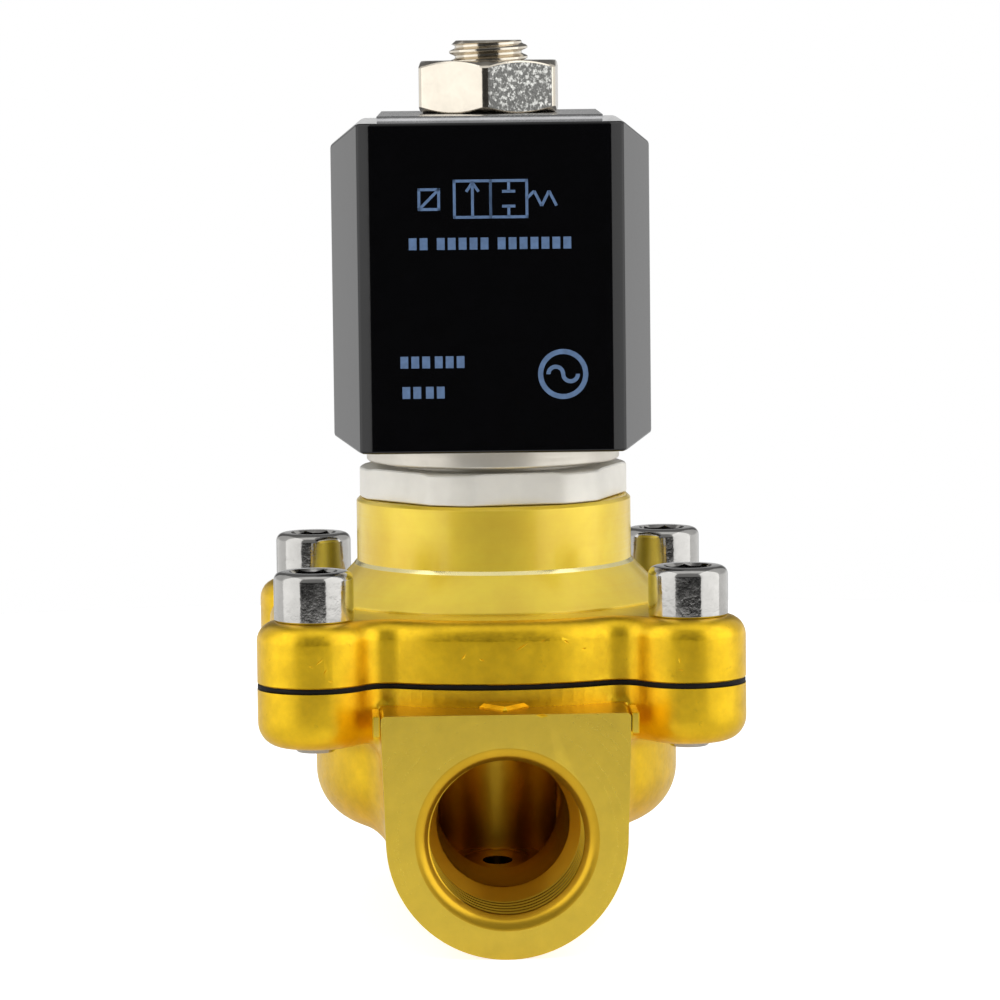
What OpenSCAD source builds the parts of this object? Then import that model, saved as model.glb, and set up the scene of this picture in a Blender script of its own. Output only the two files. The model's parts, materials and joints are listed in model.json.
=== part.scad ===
// Two-way solenoid valve, normally closed, G 1/2, with a clamped diaphragm that the plunger helps to lift.
// The stem axis is vertical, the flow axis is horizontal, and both cross at the middle of the body.
// Origin: on the flow axis, where the inlet port's thread begins. +Z up along the stem, flow runs towards -Y.

/* [Body] */
// Length between the two port faces
body_len = 68.6; // [66:0.2:72]
// Outer radius of the round port boss
boss_r = 14.54; // [13.5:0.1:16]
// Height of the boss's flat top above the flow axis
boss_top_z = 15.1; // [14.6:0.1:16]
// Half width of the boss's flat top
boss_top_half_w = 15; // [14:0.1:16]
// Outer radius of the round bowl under the flange
bowl_r = 22.7; // [21.5:0.1:24]
// Radius of the bowl's lower edge
bowl_edge_r = 7; // [6:0.5:10]
// Where the bowl's lower edge begins
bowl_edge_z = 4.1; // [3:0.1:6]

/* [Ports] */
// Minor diameter of the G 1/2 port thread
port_minor_d = 18.64; // [18.5:0.02:19]
// Diameter of the countersink at the port face
port_mouth_d = 22.2; // [21.5:0.1:23]
// Depth of that countersink
port_mouth_depth = 0.6; // [0.4:0.1:1.5]
// Depth of the threaded part from the port face
port_thread_len = 12.6; // [11:0.1:14]
// Diameter of the flow bore behind the thread
flow_bore_d = 16.2; // [14:0.1:17]

/* [Seat] */
// Diameter of the main orifice
orifice_d = 15; // [13:0.1:16]
// Height of the seat's top
seat_z = 15.8; // [15:0.1:16.5]
// Radius of the seat's flat nose
seat_nose_r = 8.7; // [8.3:0.1:9]
// Outer radius of the wall round the orifice
seat_wall_r = 9.6; // [9.3:0.1:10]
// Radius of the chamber round the seat
chamber_r = 18.5; // [17:0.1:19]

/* [Flange] */
// Half the spacing of the square screw pattern
screw_half = 22.73; // [21:0.01:24]
// Radius of the round middle of the flange
flange_r = 28.3; // [27.5:0.1:29.5]
// Radius of each corner ear
ear_r = 7; // [6.5:0.1:8]
// Radius of the hollow between an ear and the round middle
neck_r = 3.5; // [2:0.1:5]
// Underside of the body's flange
body_flange_z0 = 10.1; // [9.5:0.1:11]
// Joint face of the body
body_flange_z1 = 17.2; // [16.8:0.1:17.5]
// Clamped thickness of the diaphragm
diaphragm_t = 0.65; // [0.5:0.05:1]
// Top of the bonnet's flange
bonnet_flange_z1 = 25.42; // [25:0.01:26]

/* [Bonnet] */
// Radius of the turned tower
tower_r = 17.21; // [16.5:0.01:18]
// Top of the tower
tower_z1 = 38.22; // [37:0.01:40]
// Height where the cone meets the tower
cone_z1 = 30.23; // [29.5:0.01:31]
// Radius at the foot of the cone
cone_foot_r = 21.6; // [21:0.1:22]

/* [Plunger] */
// Travel of the plunger
plunger_travel = 4.5; // [3:0.1:5]
// Travel of the diaphragm's centre
diaphragm_travel = 3; // [2:0.1:3.2]
// Outer radius of the armature tube
tube_r = 8; // [7.8:0.05:8]
// Wall of the armature tube
tube_wall = 0.8; // [0.6:0.05:1]
// Gap round the plunger
plunger_gap = 0.08; // [0.03:0.01:0.1]
// Underside of the fixed core
core_z0 = 66; // [64:0.5:68]

/* [Coil] */
// Turn of the coil about the stem, as it was left when the nut was tightened
coil_turn = -1.8; // [-180:0.1:180]
// Underside of the coil
coil_z0 = 45; // [44.5:0.1:46]
// Top of the moulding
coil_z1 = 85.25; // [84:0.05:87]
// Half depth of the moulding
coil_half_d = 18; // [17.5:0.1:20]
// Half width of the front face
coil_face_half_w = 16.2; // [16:0.1:18]
// Half width over the bulged sides
coil_half_w = 19.7; // [19:0.1:21]
// Gap between the coil's bore and the armature tube
coil_bore_gap = 0.1; // [0.05:0.01:0.3]
// Top face of the steel yoke
yoke_z1 = 86.1; // [85.5:0.05:88]
// Width of the yoke strip
yoke_w = 27.5; // [24:0.5:28]
// Thickness of the yoke strip
yoke_t = 1.5; // [1:0.1:2]

/* [Nuts and screws] */
// Width across the flats of the coil nut, for M10
nut_af = 17; // [15:0.5:17]
// Height of the coil nut
nut_h = 6.5; // [5:0.1:8]
// Radius over the stud's thread
stud_r = 4.9; // [4.8:0.05:5]
// Top of the stud
stud_z1 = 95.1; // [94:0.1:97]
// Width across the flats of the ring nut
ring_af = 31.4; // [30:0.1:32]
// Radius of the ring nut's turned corners
ring_r = 16.76; // [16:0.01:17]
// Radius of the M6 screws' thread
screw_r = 2.95; // [2.9:0.01:3]
// Radius of the screw heads
screw_head_r = 4.85; // [4.7:0.05:5]
// Length of the screws under the head
screw_len = 16; // [14:1:16]

/* [Hidden] */
$fn = 96;
eps = 0.01;

BRASS = [0.83, 0.66, 0.22];
NICKEL = [0.78, 0.76, 0.73];
STEEL = [0.62, 0.62, 0.64];
RUBBER = [0.06, 0.06, 0.06];
RESIN = [0.03, 0.03, 0.035];
COPPER = [0.72, 0.42, 0.22];

corner_angles = [45, 135, 225, 315];
corner_dist = screw_half * sqrt(2);
bonnet_z0 = body_flange_z1 + diaphragm_t;

// passages
flow_r = flow_bore_d / 2;
orifice_r = orifice_d / 2;
passage_floor_z = -8;
chamber_floor_z = 10.2;
pocket_floor_z = 0.2;

// stack of the diaphragm's centre, from below
pad_t = 2;
pad_r = 10.3;
nozzle_r = 3;
lower_plate_t = 1.5;
nozzle_head_t = 0.8;
nozzle_head_r = 4.4;
pad_z1 = seat_z + pad_t;
cup_floor_z1 = pad_z1 + 0.8;
nozzle_nut_z1 = cup_floor_z1 + 1.8;
pilot_z = nozzle_nut_z1 + 0.6;
pilot_bore_r = 1.25;

// plunger and the foot that the lift cup holds
tube_in_r = tube_r - tube_wall;
plunger_r = tube_in_r - plunger_gap;
plunger_z1 = core_z0 - plunger_travel;
foot_z0 = pilot_z + 0.2;
foot_z1 = foot_z0 + 2.2;
foot_r = 5.4;
foot_neck_r = 3.6;
plunger_body_z0 = 27;
lost_motion = plunger_travel - diaphragm_travel;
lip_z0 = foot_z1 + lost_motion;
cup_in_r = 5.9;
cup_out_r = 6.9;
seal_r = 3;
seal_t = 2;
spring_pocket_r = 3.6;
spring_z0 = plunger_z1 - 20;
spring_r = 2.9;
spring_wire_r = 0.35;
spring_turns = 8;

// armature tube and ring nut
tube_flange_z0 = 30.2;
tube_flange_t = 1.6;
tube_flange_r = 12.5;
ring_shank_r = 12.9;
ring_shank_z0 = tube_flange_z0 + tube_flange_t;
ring_bore_r = ring_shank_r + 0.1;
tube_z1 = 84.4;
ring_z0 = tower_z1 + 0.14;
ring_z1 = 42.2;
washer_z0 = 42.8;
washer_r = 15.85;
washer_hub_r = 13;
o_ring_r = 10.7;
o_ring_wire_r = 0.79;
o_groove_w = 1.1;

// inside of the coil
coil_bore_r = tube_r + coil_bore_gap;
yoke_z0 = coil_z0 + yoke_t;
yoke_half_d = coil_half_d - 0.4;
yoke_top_z0 = yoke_z1 - yoke_t;
bobbin_wall = 1;
bobbin_flange_t = 1.5;
bobbin_r = 15.5;
side_top_z = 82.4;
side_bottom_z = 46.4;
side_front_y = 6.5;
corner_r = 1.3;

// electrical connector base
base_half = 14;
base_z = 64;
base_y = 23;
blade_w = 6.3;
blade_t = 0.8;
blade_y1 = 32.5;
blade_offset = 9;
blade_y0 = 17;
insert_r = 2.25;
insert_y0 = 16.8;
insert_bore_r = 1.25;
insert_bore_len = 5.4;
lead_r = 0.35;
lead_y0 = 12.7;
window_half_w = 12;
window_z = [54, 70];

// Everything is drawn round the stem axis and then put in the part's own frame.
module at_stem() {
    translate([0, port_mouth_depth - body_len / 2, 0])
        children();
}

module at_coil() {
    at_stem()
        rotate(coil_turn)
            children();
}

module at_corners() {
    for (a = corner_angles)
        rotate(a)
            translate([corner_dist, 0, 0])
                children();
}

// Points of an arc about c, from angle a0 to a1
function arc(c, r, a0, a1, n = 6) =
    [for (i = [0:n]) c + r * [cos(a0 + (a1 - a0) * i / n), sin(a0 + (a1 - a0) * i / n)]];

// ---- flange outline, shared by the body, the diaphragm and the bonnet ----

// Centre of the hollow that runs into the ear and the round middle, seen from the ear's own axis
neck_dist = flange_r + neck_r;
neck_angle = acos((neck_dist ^ 2 + corner_dist ^ 2 - (ear_r + neck_r) ^ 2) / (2 * neck_dist * corner_dist));
neck_centre = neck_dist * [cos(neck_angle), sin(neck_angle)];

module neck_web() {
    difference() {
        polygon([[0, 0], [corner_dist, 0], neck_centre]);
        translate(neck_centre)
            circle(r = neck_r);
    }
}

module neck_webs() {
    for (a = corner_angles, side = [0, 1])
        rotate(a)
            mirror([0, side])
                neck_web();
}

module flange_outline() {
    circle(r = flange_r);
    neck_webs();
    at_corners()
        circle(r = ear_r);
}

// A disc whose lower or upper edge is rounded
module rounded_disc(r, z0, z1, edge_low, edge_high) {
    low = edge_low > 0 ? arc([r - edge_low, z0 + edge_low], edge_low, -90, 0) : [[r, z0]];
    high = edge_high > 0 ? arc([r - edge_high, z1 - edge_high], edge_high, 0, 90) : [[r, z1]];
    rotate_extrude()
        polygon(concat([[0, z0]], low, high, [[0, z1]]));
}

module flange(z0, z1) {
    translate([0, 0, z0])
        linear_extrude(z1 - z0)
            flange_outline();
}

// ---- valve body ----

module boss_bar() {
    rotate([90, 0, 0])
        linear_extrude(body_len, center = true) {
            circle(r = boss_r);
            polygon([[-boss_r, 0], [boss_r, 0], [boss_top_half_w, boss_top_z], [-boss_top_half_w, boss_top_z]]);
        }
}

module bowl() {
    edge = arc([bowl_r - bowl_edge_r, bowl_edge_z], bowl_edge_r, -90, 0, 8);
    rotate_extrude()
        polygon(concat([[0, bowl_edge_z - bowl_edge_r]], edge, [[bowl_r, body_flange_z0 + 1], [0, body_flange_z0 + 1]]));
}

module flow_arrow() {
    tip_y = -32;
    wing_y = -27.6;
    tail_y = -24;
    raise = 0.55;
    translate([0, 0, boss_top_z - 1])
        linear_extrude(1 + raise)
            polygon([[0, tip_y], [3.3, wing_y], [2, wing_y], [2, tail_y], [-2, tail_y], [-2, wing_y], [-3.3, wing_y]]);
}

// Threaded mouth, end cone and flow bore of the port on the +Y side; the bore ends inner_y from the stem
module port_cut(inner_y) {
    face_y = body_len / 2;
    thread_y = face_y - port_thread_len;
    minor_r = port_minor_d / 2;
    end_cone = minor_r - flow_r;
    rotate([-90, 0, 0])
        rotate_extrude()
            polygon([
                [0, inner_y], [flow_r, inner_y], [flow_r, thread_y - end_cone], [minor_r, thread_y],
                [minor_r, face_y - port_mouth_depth], [port_mouth_d / 2, face_y],
                [port_mouth_d / 2, face_y + 1], [0, face_y + 1]
            ]);
}

// Space round and above the seat
module chamber_cut() {
    rotate_extrude()
        polygon([
            [0, seat_z], [seat_nose_r, seat_z], [seat_wall_r, seat_z - 1.2], [seat_wall_r, chamber_floor_z],
            [chamber_r, chamber_floor_z], [chamber_r, body_flange_z1 + 1], [0, body_flange_z1 + 1]
        ]);
}

// Deeper pocket on the inlet side, which the inlet bore opens into
module inlet_pocket_cut() {
    pocket_y = 3;
    intersection() {
        rotate_extrude()
            polygon([
                [seat_wall_r, pocket_floor_z], [15.5, pocket_floor_z], [chamber_r, 2.5],
                [chamber_r, chamber_floor_z + 1], [seat_wall_r, chamber_floor_z + 1]
            ]);
        translate([-chamber_r - 1, pocket_y, pocket_floor_z - 1])
            cube([2 * chamber_r + 2, chamber_r + 1, chamber_floor_z - pocket_floor_z + 3]);
    }
}

// Vertical bore under the seat, with the drill point's dimple in its floor
module orifice_cut() {
    translate([0, 0, passage_floor_z])
        cylinder(r = orifice_r, h = seat_z - passage_floor_z + 1);
    translate([0, 0, passage_floor_z - 1.2])
        cylinder(r1 = 0.4, r2 = 2, h = 1.2 + eps);
}

module valve_body() {
    at_stem()
        color(BRASS)
            difference() {
                union() {
                    flange(body_flange_z0, body_flange_z1);
                    boss_bar();
                    bowl();
                    flow_arrow();
                }
                port_cut(11.5);
                mirror([0, 1, 0])
                    port_cut(0);
                chamber_cut();
                inlet_pocket_cut();
                orifice_cut();
                at_corners()
                    translate([0, 0, body_flange_z0 - 1])
                        cylinder(r = screw_r + 0.05, h = body_flange_z1 - body_flange_z0 + 2);
            }
}

// ---- bonnet ----

module bonnet() {
    roof_z = 22.6;
    neck_bore_r = 9;
    at_stem()
        color(BRASS)
            difference() {
                union() {
                    flange(bonnet_z0, bonnet_flange_z1);
                    rotate_extrude()
                        polygon([
                            [0, bonnet_flange_z1 - 1], [cone_foot_r, bonnet_flange_z1 - 1], [cone_foot_r, bonnet_flange_z1 + 0.3],
                            [tower_r + 0.4, cone_z1 - 0.35], [tower_r, cone_z1 + 0.1],
                            [tower_r, tower_z1 - 0.4], [tower_r - 0.4, tower_z1], [0, tower_z1]
                        ]);
                }
                rotate_extrude()
                    polygon([
                        [0, bonnet_z0 - 1], [19, bonnet_z0 - 1], [19, roof_z - 2], [17, roof_z], [neck_bore_r, roof_z],
                        [neck_bore_r, tube_flange_z0], [ring_bore_r, tube_flange_z0],
                        [ring_bore_r, tower_z1 + 1], [0, tower_z1 + 1]
                    ]);
                translate([0, 0, tube_flange_z0 - 2 * o_ring_wire_r])
                    difference() {
                        cylinder(r = o_ring_r + o_groove_w, h = 2 * o_ring_wire_r + eps);
                        translate([0, 0, -1])
                            cylinder(r = o_ring_r - o_groove_w, h = 2 * o_ring_wire_r + 2);
                    }
                at_corners()
                    translate([0, 0, bonnet_z0 - 1])
                        cylinder(r = screw_r + 0.3, h = bonnet_flange_z1 - bonnet_z0 + 2);
            }
}

// ---- diaphragm and the pieces clamped to its centre ----

module diaphragm() {
    low = body_flange_z1;
    high = bonnet_z0;
    at_stem()
        color(RUBBER)
            difference() {
                union() {
                    translate([0, 0, low])
                        linear_extrude(diaphragm_t)
                            difference() {
                                flange_outline();
                                circle(r = 18);
                                at_corners()
                                    circle(r = screw_r + 0.35);
                            }
                    rotate_extrude()
                        polygon([
                            [nozzle_r, seat_z], [pad_r, seat_z], [11.6, seat_z + 0.5], [13, seat_z + 1.8], [14.7, seat_z + 2.4],
                            [16.4, seat_z + 2], [17.6, low], [18.4, low], [18.4, high], [17.4, high + 0.2],
                            [16.6, high + 0.9], [14.7, high + 1.4], [12.7, high + 1], [11.4, high + 0.1],
                            [pad_r, pad_z1], [nozzle_r, pad_z1]
                        ]);
                }
                // bleed hole that lets the inlet pressure in above the diaphragm
                rotate(100)
                    translate([14.7, 0, seat_z])
                        cylinder(r = 0.5, h = 5);
            }
}

module lower_plate() {
    at_stem()
        color(STEEL)
            translate([0, 0, seat_z - lower_plate_t])
                difference() {
                    rounded_disc(orifice_r - 0.9, 0, lower_plate_t, 0.6, 0);
                    translate([0, 0, -1])
                        cylinder(r = nozzle_r + 0.02, h = lower_plate_t + 2);
                }
}

// Cage that catches the plunger's foot; the foot goes in through its open side
module lift_cup() {
    lip_t = 1;
    slot_half_w = foot_r + 0.2;
    at_stem()
        color(NICKEL)
            difference() {
                union() {
                    translate([0, 0, pad_z1])
                        cylinder(r = 9.5, h = cup_floor_z1 - pad_z1);
                    translate([0, 0, cup_floor_z1 - eps])
                        cylinder(r = cup_out_r, h = lip_z0 + lip_t - cup_floor_z1 + eps);
                }
                translate([0, 0, cup_floor_z1])
                    cylinder(r = cup_in_r, h = lip_z0 - cup_floor_z1);
                translate([0, 0, lip_z0 - eps])
                    cylinder(r = foot_neck_r + 0.4, h = lip_t + 1);
                translate([0, 0, pad_z1 - 1])
                    cylinder(r = nozzle_r + 0.02, h = 4);
                translate([0, -slot_half_w, cup_floor_z1])
                    cube([cup_out_r + 1, 2 * slot_half_w, lip_z0 - cup_floor_z1]);
                translate([0, -foot_neck_r - 0.4, cup_floor_z1])
                    cube([cup_out_r + 1, 2 * foot_neck_r + 0.8, lip_z0 + lip_t - cup_floor_z1 + 1]);
            }
}

module pilot_nozzle() {
    head_z0 = seat_z - lower_plate_t - nozzle_head_t;
    at_stem()
        color(BRASS)
            rotate_extrude()
                polygon([
                    [pilot_bore_r, head_z0], [nozzle_head_r, head_z0], [nozzle_head_r, head_z0 + nozzle_head_t],
                    [nozzle_r, head_z0 + nozzle_head_t], [nozzle_r, nozzle_nut_z1], [2, nozzle_nut_z1 + 0.2],
                    [1.7, pilot_z], [pilot_bore_r, pilot_z]
                ]);
}

module nozzle_nut() {
    af = 9;
    at_stem()
        color(BRASS)
            translate([0, 0, cup_floor_z1])
                difference() {
                    cylinder(d = af / cos(30), h = nozzle_nut_z1 - cup_floor_z1, $fn = 6);
                    translate([0, 0, -1])
                        cylinder(r = nozzle_r + 0.02, h = 4);
                }
}

// ---- plunger ----

module plunger() {
    at_stem()
        color(STEEL)
            difference() {
                rotate_extrude()
                    polygon([
                        [0, foot_z0], [foot_r - 0.4, foot_z0], [foot_r, foot_z0 + 0.4], [foot_r, foot_z1],
                        [foot_neck_r, foot_z1], [foot_neck_r, plunger_body_z0], [plunger_r - 0.5, plunger_body_z0],
                        [plunger_r, plunger_body_z0 + 0.5], [plunger_r, plunger_z1 - 0.5],
                        [plunger_r - 0.5, plunger_z1], [0, plunger_z1]
                    ]);
                translate([0, 0, spring_z0])
                    cylinder(r = spring_pocket_r, h = plunger_z1 - spring_z0 + 1);
                translate([0, 0, foot_z0 - 1])
                    cylinder(r = seal_r, h = 1 + seal_t - 0.2);
                // two flats that let the fluid past
                for (side = [-1, 1])
                    translate([-1.5, side * (plunger_r + 0.6) - 1.5, plunger_body_z0 - 1])
                        cube([3, 3, plunger_z1 - plunger_body_z0 + 2]);
            }
}

module plunger_seal() {
    at_stem()
        color(RUBBER)
            translate([0, 0, pilot_z])
                rounded_disc(seal_r, 0, seal_t, 0.15, 0);
}

// Wire of radius w wound at radius r, with closed ends, as one swept tube
module coil_spring(r, w, z0, z1, turns) {
    sides = 6;
    steps_per_turn = 16;
    n = turns * steps_per_turn;
    rise = z1 - z0 - 2 * w;
    points = [
        for (i = [0:n], j = [0:sides - 1])
            let (
                a = 360 * i / steps_per_turn,
                b = 360 * j / sides,
                u = (r + w * cos(b)) * [cos(a), sin(a)]
            )
            [u[0], u[1], z0 + w + rise * i / n + w * sin(b)]
    ];
    skin = [
        for (i = [0:n - 1], j = [0:sides - 1])
            let (k = (j + 1) % sides)
            [i * sides + j, i * sides + k, (i + 1) * sides + k, (i + 1) * sides + j]
    ];
    start_cap = [[for (j = [sides - 1:-1:0]) j]];
    end_cap = [[for (j = [0:sides - 1]) n * sides + j]];
    polyhedron(points, concat(skin, start_cap, end_cap), convexity = 10);
}

module plunger_spring() {
    at_stem()
        color(STEEL)
            coil_spring(spring_r, spring_wire_r, spring_z0, core_z0, spring_turns);
}

// ---- armature tube, fixed core and their nuts ----

module armature_tube() {
    at_stem()
        color(STEEL)
            rotate_extrude()
                polygon([
                    [tube_in_r, tube_flange_z0], [tube_flange_r, tube_flange_z0], [tube_flange_r, tube_flange_z0 + tube_flange_t],
                    [tube_r, tube_flange_z0 + tube_flange_t], [tube_r, tube_z1], [tube_in_r, tube_z1]
                ]);
}

module fixed_core() {
    ring_depth = 1.6;
    at_stem()
        color(NICKEL)
            difference() {
                rotate_extrude()
                    polygon([
                        [0, core_z0], [tube_in_r - 0.05, core_z0], [tube_in_r - 0.05, tube_z1],
                        [stud_r, tube_z1], [stud_r, stud_z1 - 0.8], [stud_r - 0.8, stud_z1], [0, stud_z1]
                    ]);
                translate([0, 0, core_z0 - 1])
                    difference() {
                        cylinder(r = 6, h = 1 + ring_depth);
                        translate([0, 0, -1])
                            cylinder(r = 4.5, h = 3 + ring_depth);
                    }
            }
}

module shading_ring() {
    at_stem()
        color(COPPER)
            translate([0, 0, core_z0])
                difference() {
                    cylinder(r = 5.97, h = 1.55);
                    translate([0, 0, -1])
                        cylinder(r = 4.53, h = 4);
                }
}

module tube_o_ring() {
    at_stem()
        color(RUBBER)
            translate([0, 0, tube_flange_z0 - o_ring_wire_r])
                rotate_extrude()
                    translate([o_ring_r, 0])
                        circle(r = o_ring_wire_r, $fn = 24);
}

module ring_nut() {
    edge = 0.3;
    flat_angle = 39.3;
    at_stem()
        color(NICKEL)
            difference() {
                union() {
                    translate([0, 0, ring_shank_z0])
                        cylinder(r = ring_shank_r, h = ring_z0 - ring_shank_z0 + eps);
                    intersection() {
                        rotate(flat_angle + 30)
                            translate([0, 0, ring_z0])
                                cylinder(d = ring_af / cos(30), h = ring_z1 - ring_z0, $fn = 6);
                        rotate_extrude()
                            polygon([
                                [0, ring_z0], [ring_r, ring_z0], [ring_r, ring_z1 - edge],
                                [ring_r - edge, ring_z1], [0, ring_z1]
                            ]);
                    }
                }
                translate([0, 0, ring_shank_z0 - 1])
                    cylinder(r = coil_bore_r, h = ring_z1 - ring_shank_z0 + 2);
            }
}

module base_washer() {
    at_stem()
        color(NICKEL)
            rotate_extrude()
                polygon([
                    [coil_bore_r, ring_z1], [washer_hub_r, ring_z1], [washer_hub_r, washer_z0], [washer_r - 0.2, washer_z0],
                    [washer_r, washer_z0 + 0.2], [washer_r, coil_z0], [coil_bore_r, coil_z0]
                ]);
}

module coil_nut() {
    chamfer = 1.1;
    turn = 25.3;
    corner = nut_af / 2 / cos(30);
    at_stem()
        color(NICKEL)
            translate([0, 0, yoke_z1])
                difference() {
                    intersection() {
                        rotate(turn)
                            cylinder(r = corner, h = nut_h, $fn = 6);
                        rotate_extrude()
                            polygon([
                                [0, 0], [corner - chamfer, 0], [corner, chamfer * tan(30)],
                                [corner, nut_h - chamfer * tan(30)], [corner - chamfer, nut_h], [0, nut_h]
                            ]);
                    }
                    translate([0, 0, -1])
                        cylinder(r = stud_r + 0.05, h = nut_h + 2);
                }
}

module cap_screw() {
    head_h = 6;
    socket_af = 5;
    socket_depth = 3;
    edge = 1;
    difference() {
        rotate_extrude()
            polygon(concat(
                [[0, -screw_len], [screw_r - 0.6, -screw_len], [screw_r, -screw_len + 0.6], [screw_r, 0], [screw_head_r, 0]],
                arc([screw_head_r - edge, head_h - edge], edge, 0, 90, 4),
                [[0, head_h]]
            ));
        translate([0, 0, head_h - socket_depth])
            cylinder(d = socket_af / cos(30), h = socket_depth + 1, $fn = 6);
    }
}

module cap_screws() {
    at_stem()
        color(NICKEL)
            at_corners()
                translate([0, 0, bonnet_flange_z1])
                    cap_screw();
}

// ---- coil ----

// Plan of the moulding: flat front and back, bevels, and bulged sides
module coil_plan() {
    f = coil_face_half_w;
    d = coil_half_d;
    c = corner_r;
    quarter = [[f - c, d], [f, d - 0.35 * c], [coil_half_w, side_front_y]];
    polygon(concat(
        quarter,
        [for (i = [2:-1:0]) [quarter[i][0], -quarter[i][1]]],
        [for (p = quarter) -p],
        [for (i = [2:-1:0]) [-quarter[i][0], quarter[i][1]]]
    ));
}

// Front view of the moulding: the sides bulge between a long upper and a short lower bevel
module coil_elevation() {
    f = coil_face_half_w;
    w = coil_half_w;
    polygon([
        [-f, coil_z0], [f, coil_z0], [w, side_bottom_z], [w, side_top_z], [f, coil_z1],
        [-f, coil_z1], [-w, side_top_z], [-w, side_bottom_z]
    ]);
}

module coil_block() {
    intersection() {
        translate([0, 0, coil_z0 - 1])
            linear_extrude(coil_z1 - coil_z0 + 2)
                coil_plan();
        rotate([90, 0, 0])
            linear_extrude(2 * coil_half_d + 2, center = true)
                coil_elevation();
    }
}

module connector_base() {
    translate([-base_half, coil_half_d - 1, base_z - base_half])
        cube([2 * base_half, base_y - coil_half_d + 1, 2 * base_half]);
}

module yoke_bracket_shape() {
    half_w = yoke_w / 2;
    bevel = 0.6;
    difference() {
        rotate([90, 0, 90])
            linear_extrude(yoke_w, center = true)
                polygon([
                    [-yoke_half_d, yoke_z0], [-yoke_half_d, yoke_z1 - bevel], [-yoke_half_d + bevel, yoke_z1],
                    [yoke_half_d - bevel, yoke_z1], [yoke_half_d, yoke_z1 - bevel], [yoke_half_d, yoke_z0],
                    [yoke_half_d - yoke_t, yoke_z0], [yoke_half_d - yoke_t, yoke_top_z0],
                    [-yoke_half_d + yoke_t, yoke_top_z0], [-yoke_half_d + yoke_t, yoke_z0]
                ]);
        // window in the rear leg, for the two leads
        translate([-window_half_w, yoke_half_d - yoke_t - 1, window_z[0]])
            cube([2 * window_half_w, yoke_t + 2, window_z[1] - window_z[0]]);
        for (side = [-1, 1])
            translate([side * half_w, 0, yoke_z1])
                rotate([0, 45, 0])
                    cube([bevel * sqrt(2), 2 * yoke_half_d + 2, bevel * sqrt(2)], center = true);
    }
}

module yoke_bracket() {
    at_coil()
        color(STEEL)
            difference() {
                yoke_bracket_shape();
                translate([0, 0, yoke_top_z0 - 1])
                    cylinder(r = stud_r + 0.3, h = yoke_t + 2);
            }
}

module yoke_base_shape() {
    translate([-yoke_w / 2, -yoke_half_d, coil_z0])
        cube([yoke_w, 2 * yoke_half_d, yoke_t]);
}

module yoke_base_plate() {
    at_coil()
        color(STEEL)
            difference() {
                yoke_base_shape();
                translate([0, 0, coil_z0 - 1])
                    cylinder(r = coil_bore_r, h = yoke_t + 2);
            }
}

module coil_moulding() {
    at_coil()
        color(RESIN)
            difference() {
                union() {
                    coil_block();
                    connector_base();
                }
                translate([0, 0, yoke_z0])
                    cylinder(r = bobbin_r, h = yoke_top_z0 - yoke_z0);
                yoke_bracket_shape();
                yoke_base_shape();
                terminal_blade_shapes();
                earth_blade_shape();
                insert_shape();
                lead_shapes();
            }
}

module bobbin() {
    wall_r = coil_bore_r + bobbin_wall;
    at_coil()
        color([0.75, 0.72, 0.62])
            rotate_extrude()
                polygon([
                    [coil_bore_r, yoke_z0], [bobbin_r, yoke_z0], [bobbin_r, yoke_z0 + bobbin_flange_t],
                    [wall_r, yoke_z0 + bobbin_flange_t], [wall_r, yoke_top_z0 - bobbin_flange_t],
                    [bobbin_r, yoke_top_z0 - bobbin_flange_t], [bobbin_r, yoke_top_z0], [coil_bore_r, yoke_top_z0]
                ]);
}

module winding() {
    z0 = yoke_z0 + bobbin_flange_t;
    at_coil()
        color(COPPER)
            translate([0, 0, z0])
                difference() {
                    cylinder(r = bobbin_r - 0.1, h = yoke_top_z0 - bobbin_flange_t - z0);
                    translate([0, 0, -1])
                        cylinder(r = coil_bore_r + bobbin_wall, h = yoke_z1);
                }
}

module lead_shapes() {
    for (side = [-1, 1])
        translate([side * blade_offset, lead_y0, base_z])
            rotate([-90, 0, 0])
                cylinder(r = lead_r, h = blade_y0 - lead_y0);
}

module lead_wires() {
    at_coil()
        color(COPPER)
            lead_shapes();
}

module terminal_blade_shapes() {
    for (side = [-1, 1])
        translate([side * blade_offset - blade_t / 2, blade_y0, base_z - blade_w / 2])
            cube([blade_t, blade_y1 - blade_y0, blade_w]);
}

module terminal_blades() {
    at_coil()
        color(NICKEL)
            terminal_blade_shapes();
}

module earth_blade_shape() {
    translate([-blade_w / 2, yoke_half_d, base_z + blade_offset - blade_t / 2])
        cube([blade_w, blade_y1 - yoke_half_d, blade_t]);
}

module earth_blade() {
    at_coil()
        color(NICKEL)
            earth_blade_shape();
}

module insert_shape() {
    translate([0, insert_y0, base_z])
        rotate([-90, 0, 0])
            cylinder(r = insert_r, h = base_y - insert_y0);
}

module connector_insert() {
    at_coil()
        color(BRASS)
            difference() {
                insert_shape();
                translate([0, base_y - insert_bore_len, base_z])
                    rotate([-90, 0, 0])
                        cylinder(r = insert_bore_r, h = insert_bore_len + 1);
            }
}

valve_body();
bonnet();
diaphragm();
cap_screws();
lower_plate();
lift_cup();
pilot_nozzle();
nozzle_nut();
plunger();
plunger_seal();
plunger_spring();
armature_tube();
fixed_core();
shading_ring();
tube_o_ring();
ring_nut();
base_washer();
coil_nut();
coil_moulding();
bobbin();
winding();
lead_wires();
yoke_bracket();
yoke_base_plate();
terminal_blades();
earth_blade();
connector_insert();
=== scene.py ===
import json
import math

import bmesh
import bpy
import numpy as np
from mathutils import Matrix, Vector


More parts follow.
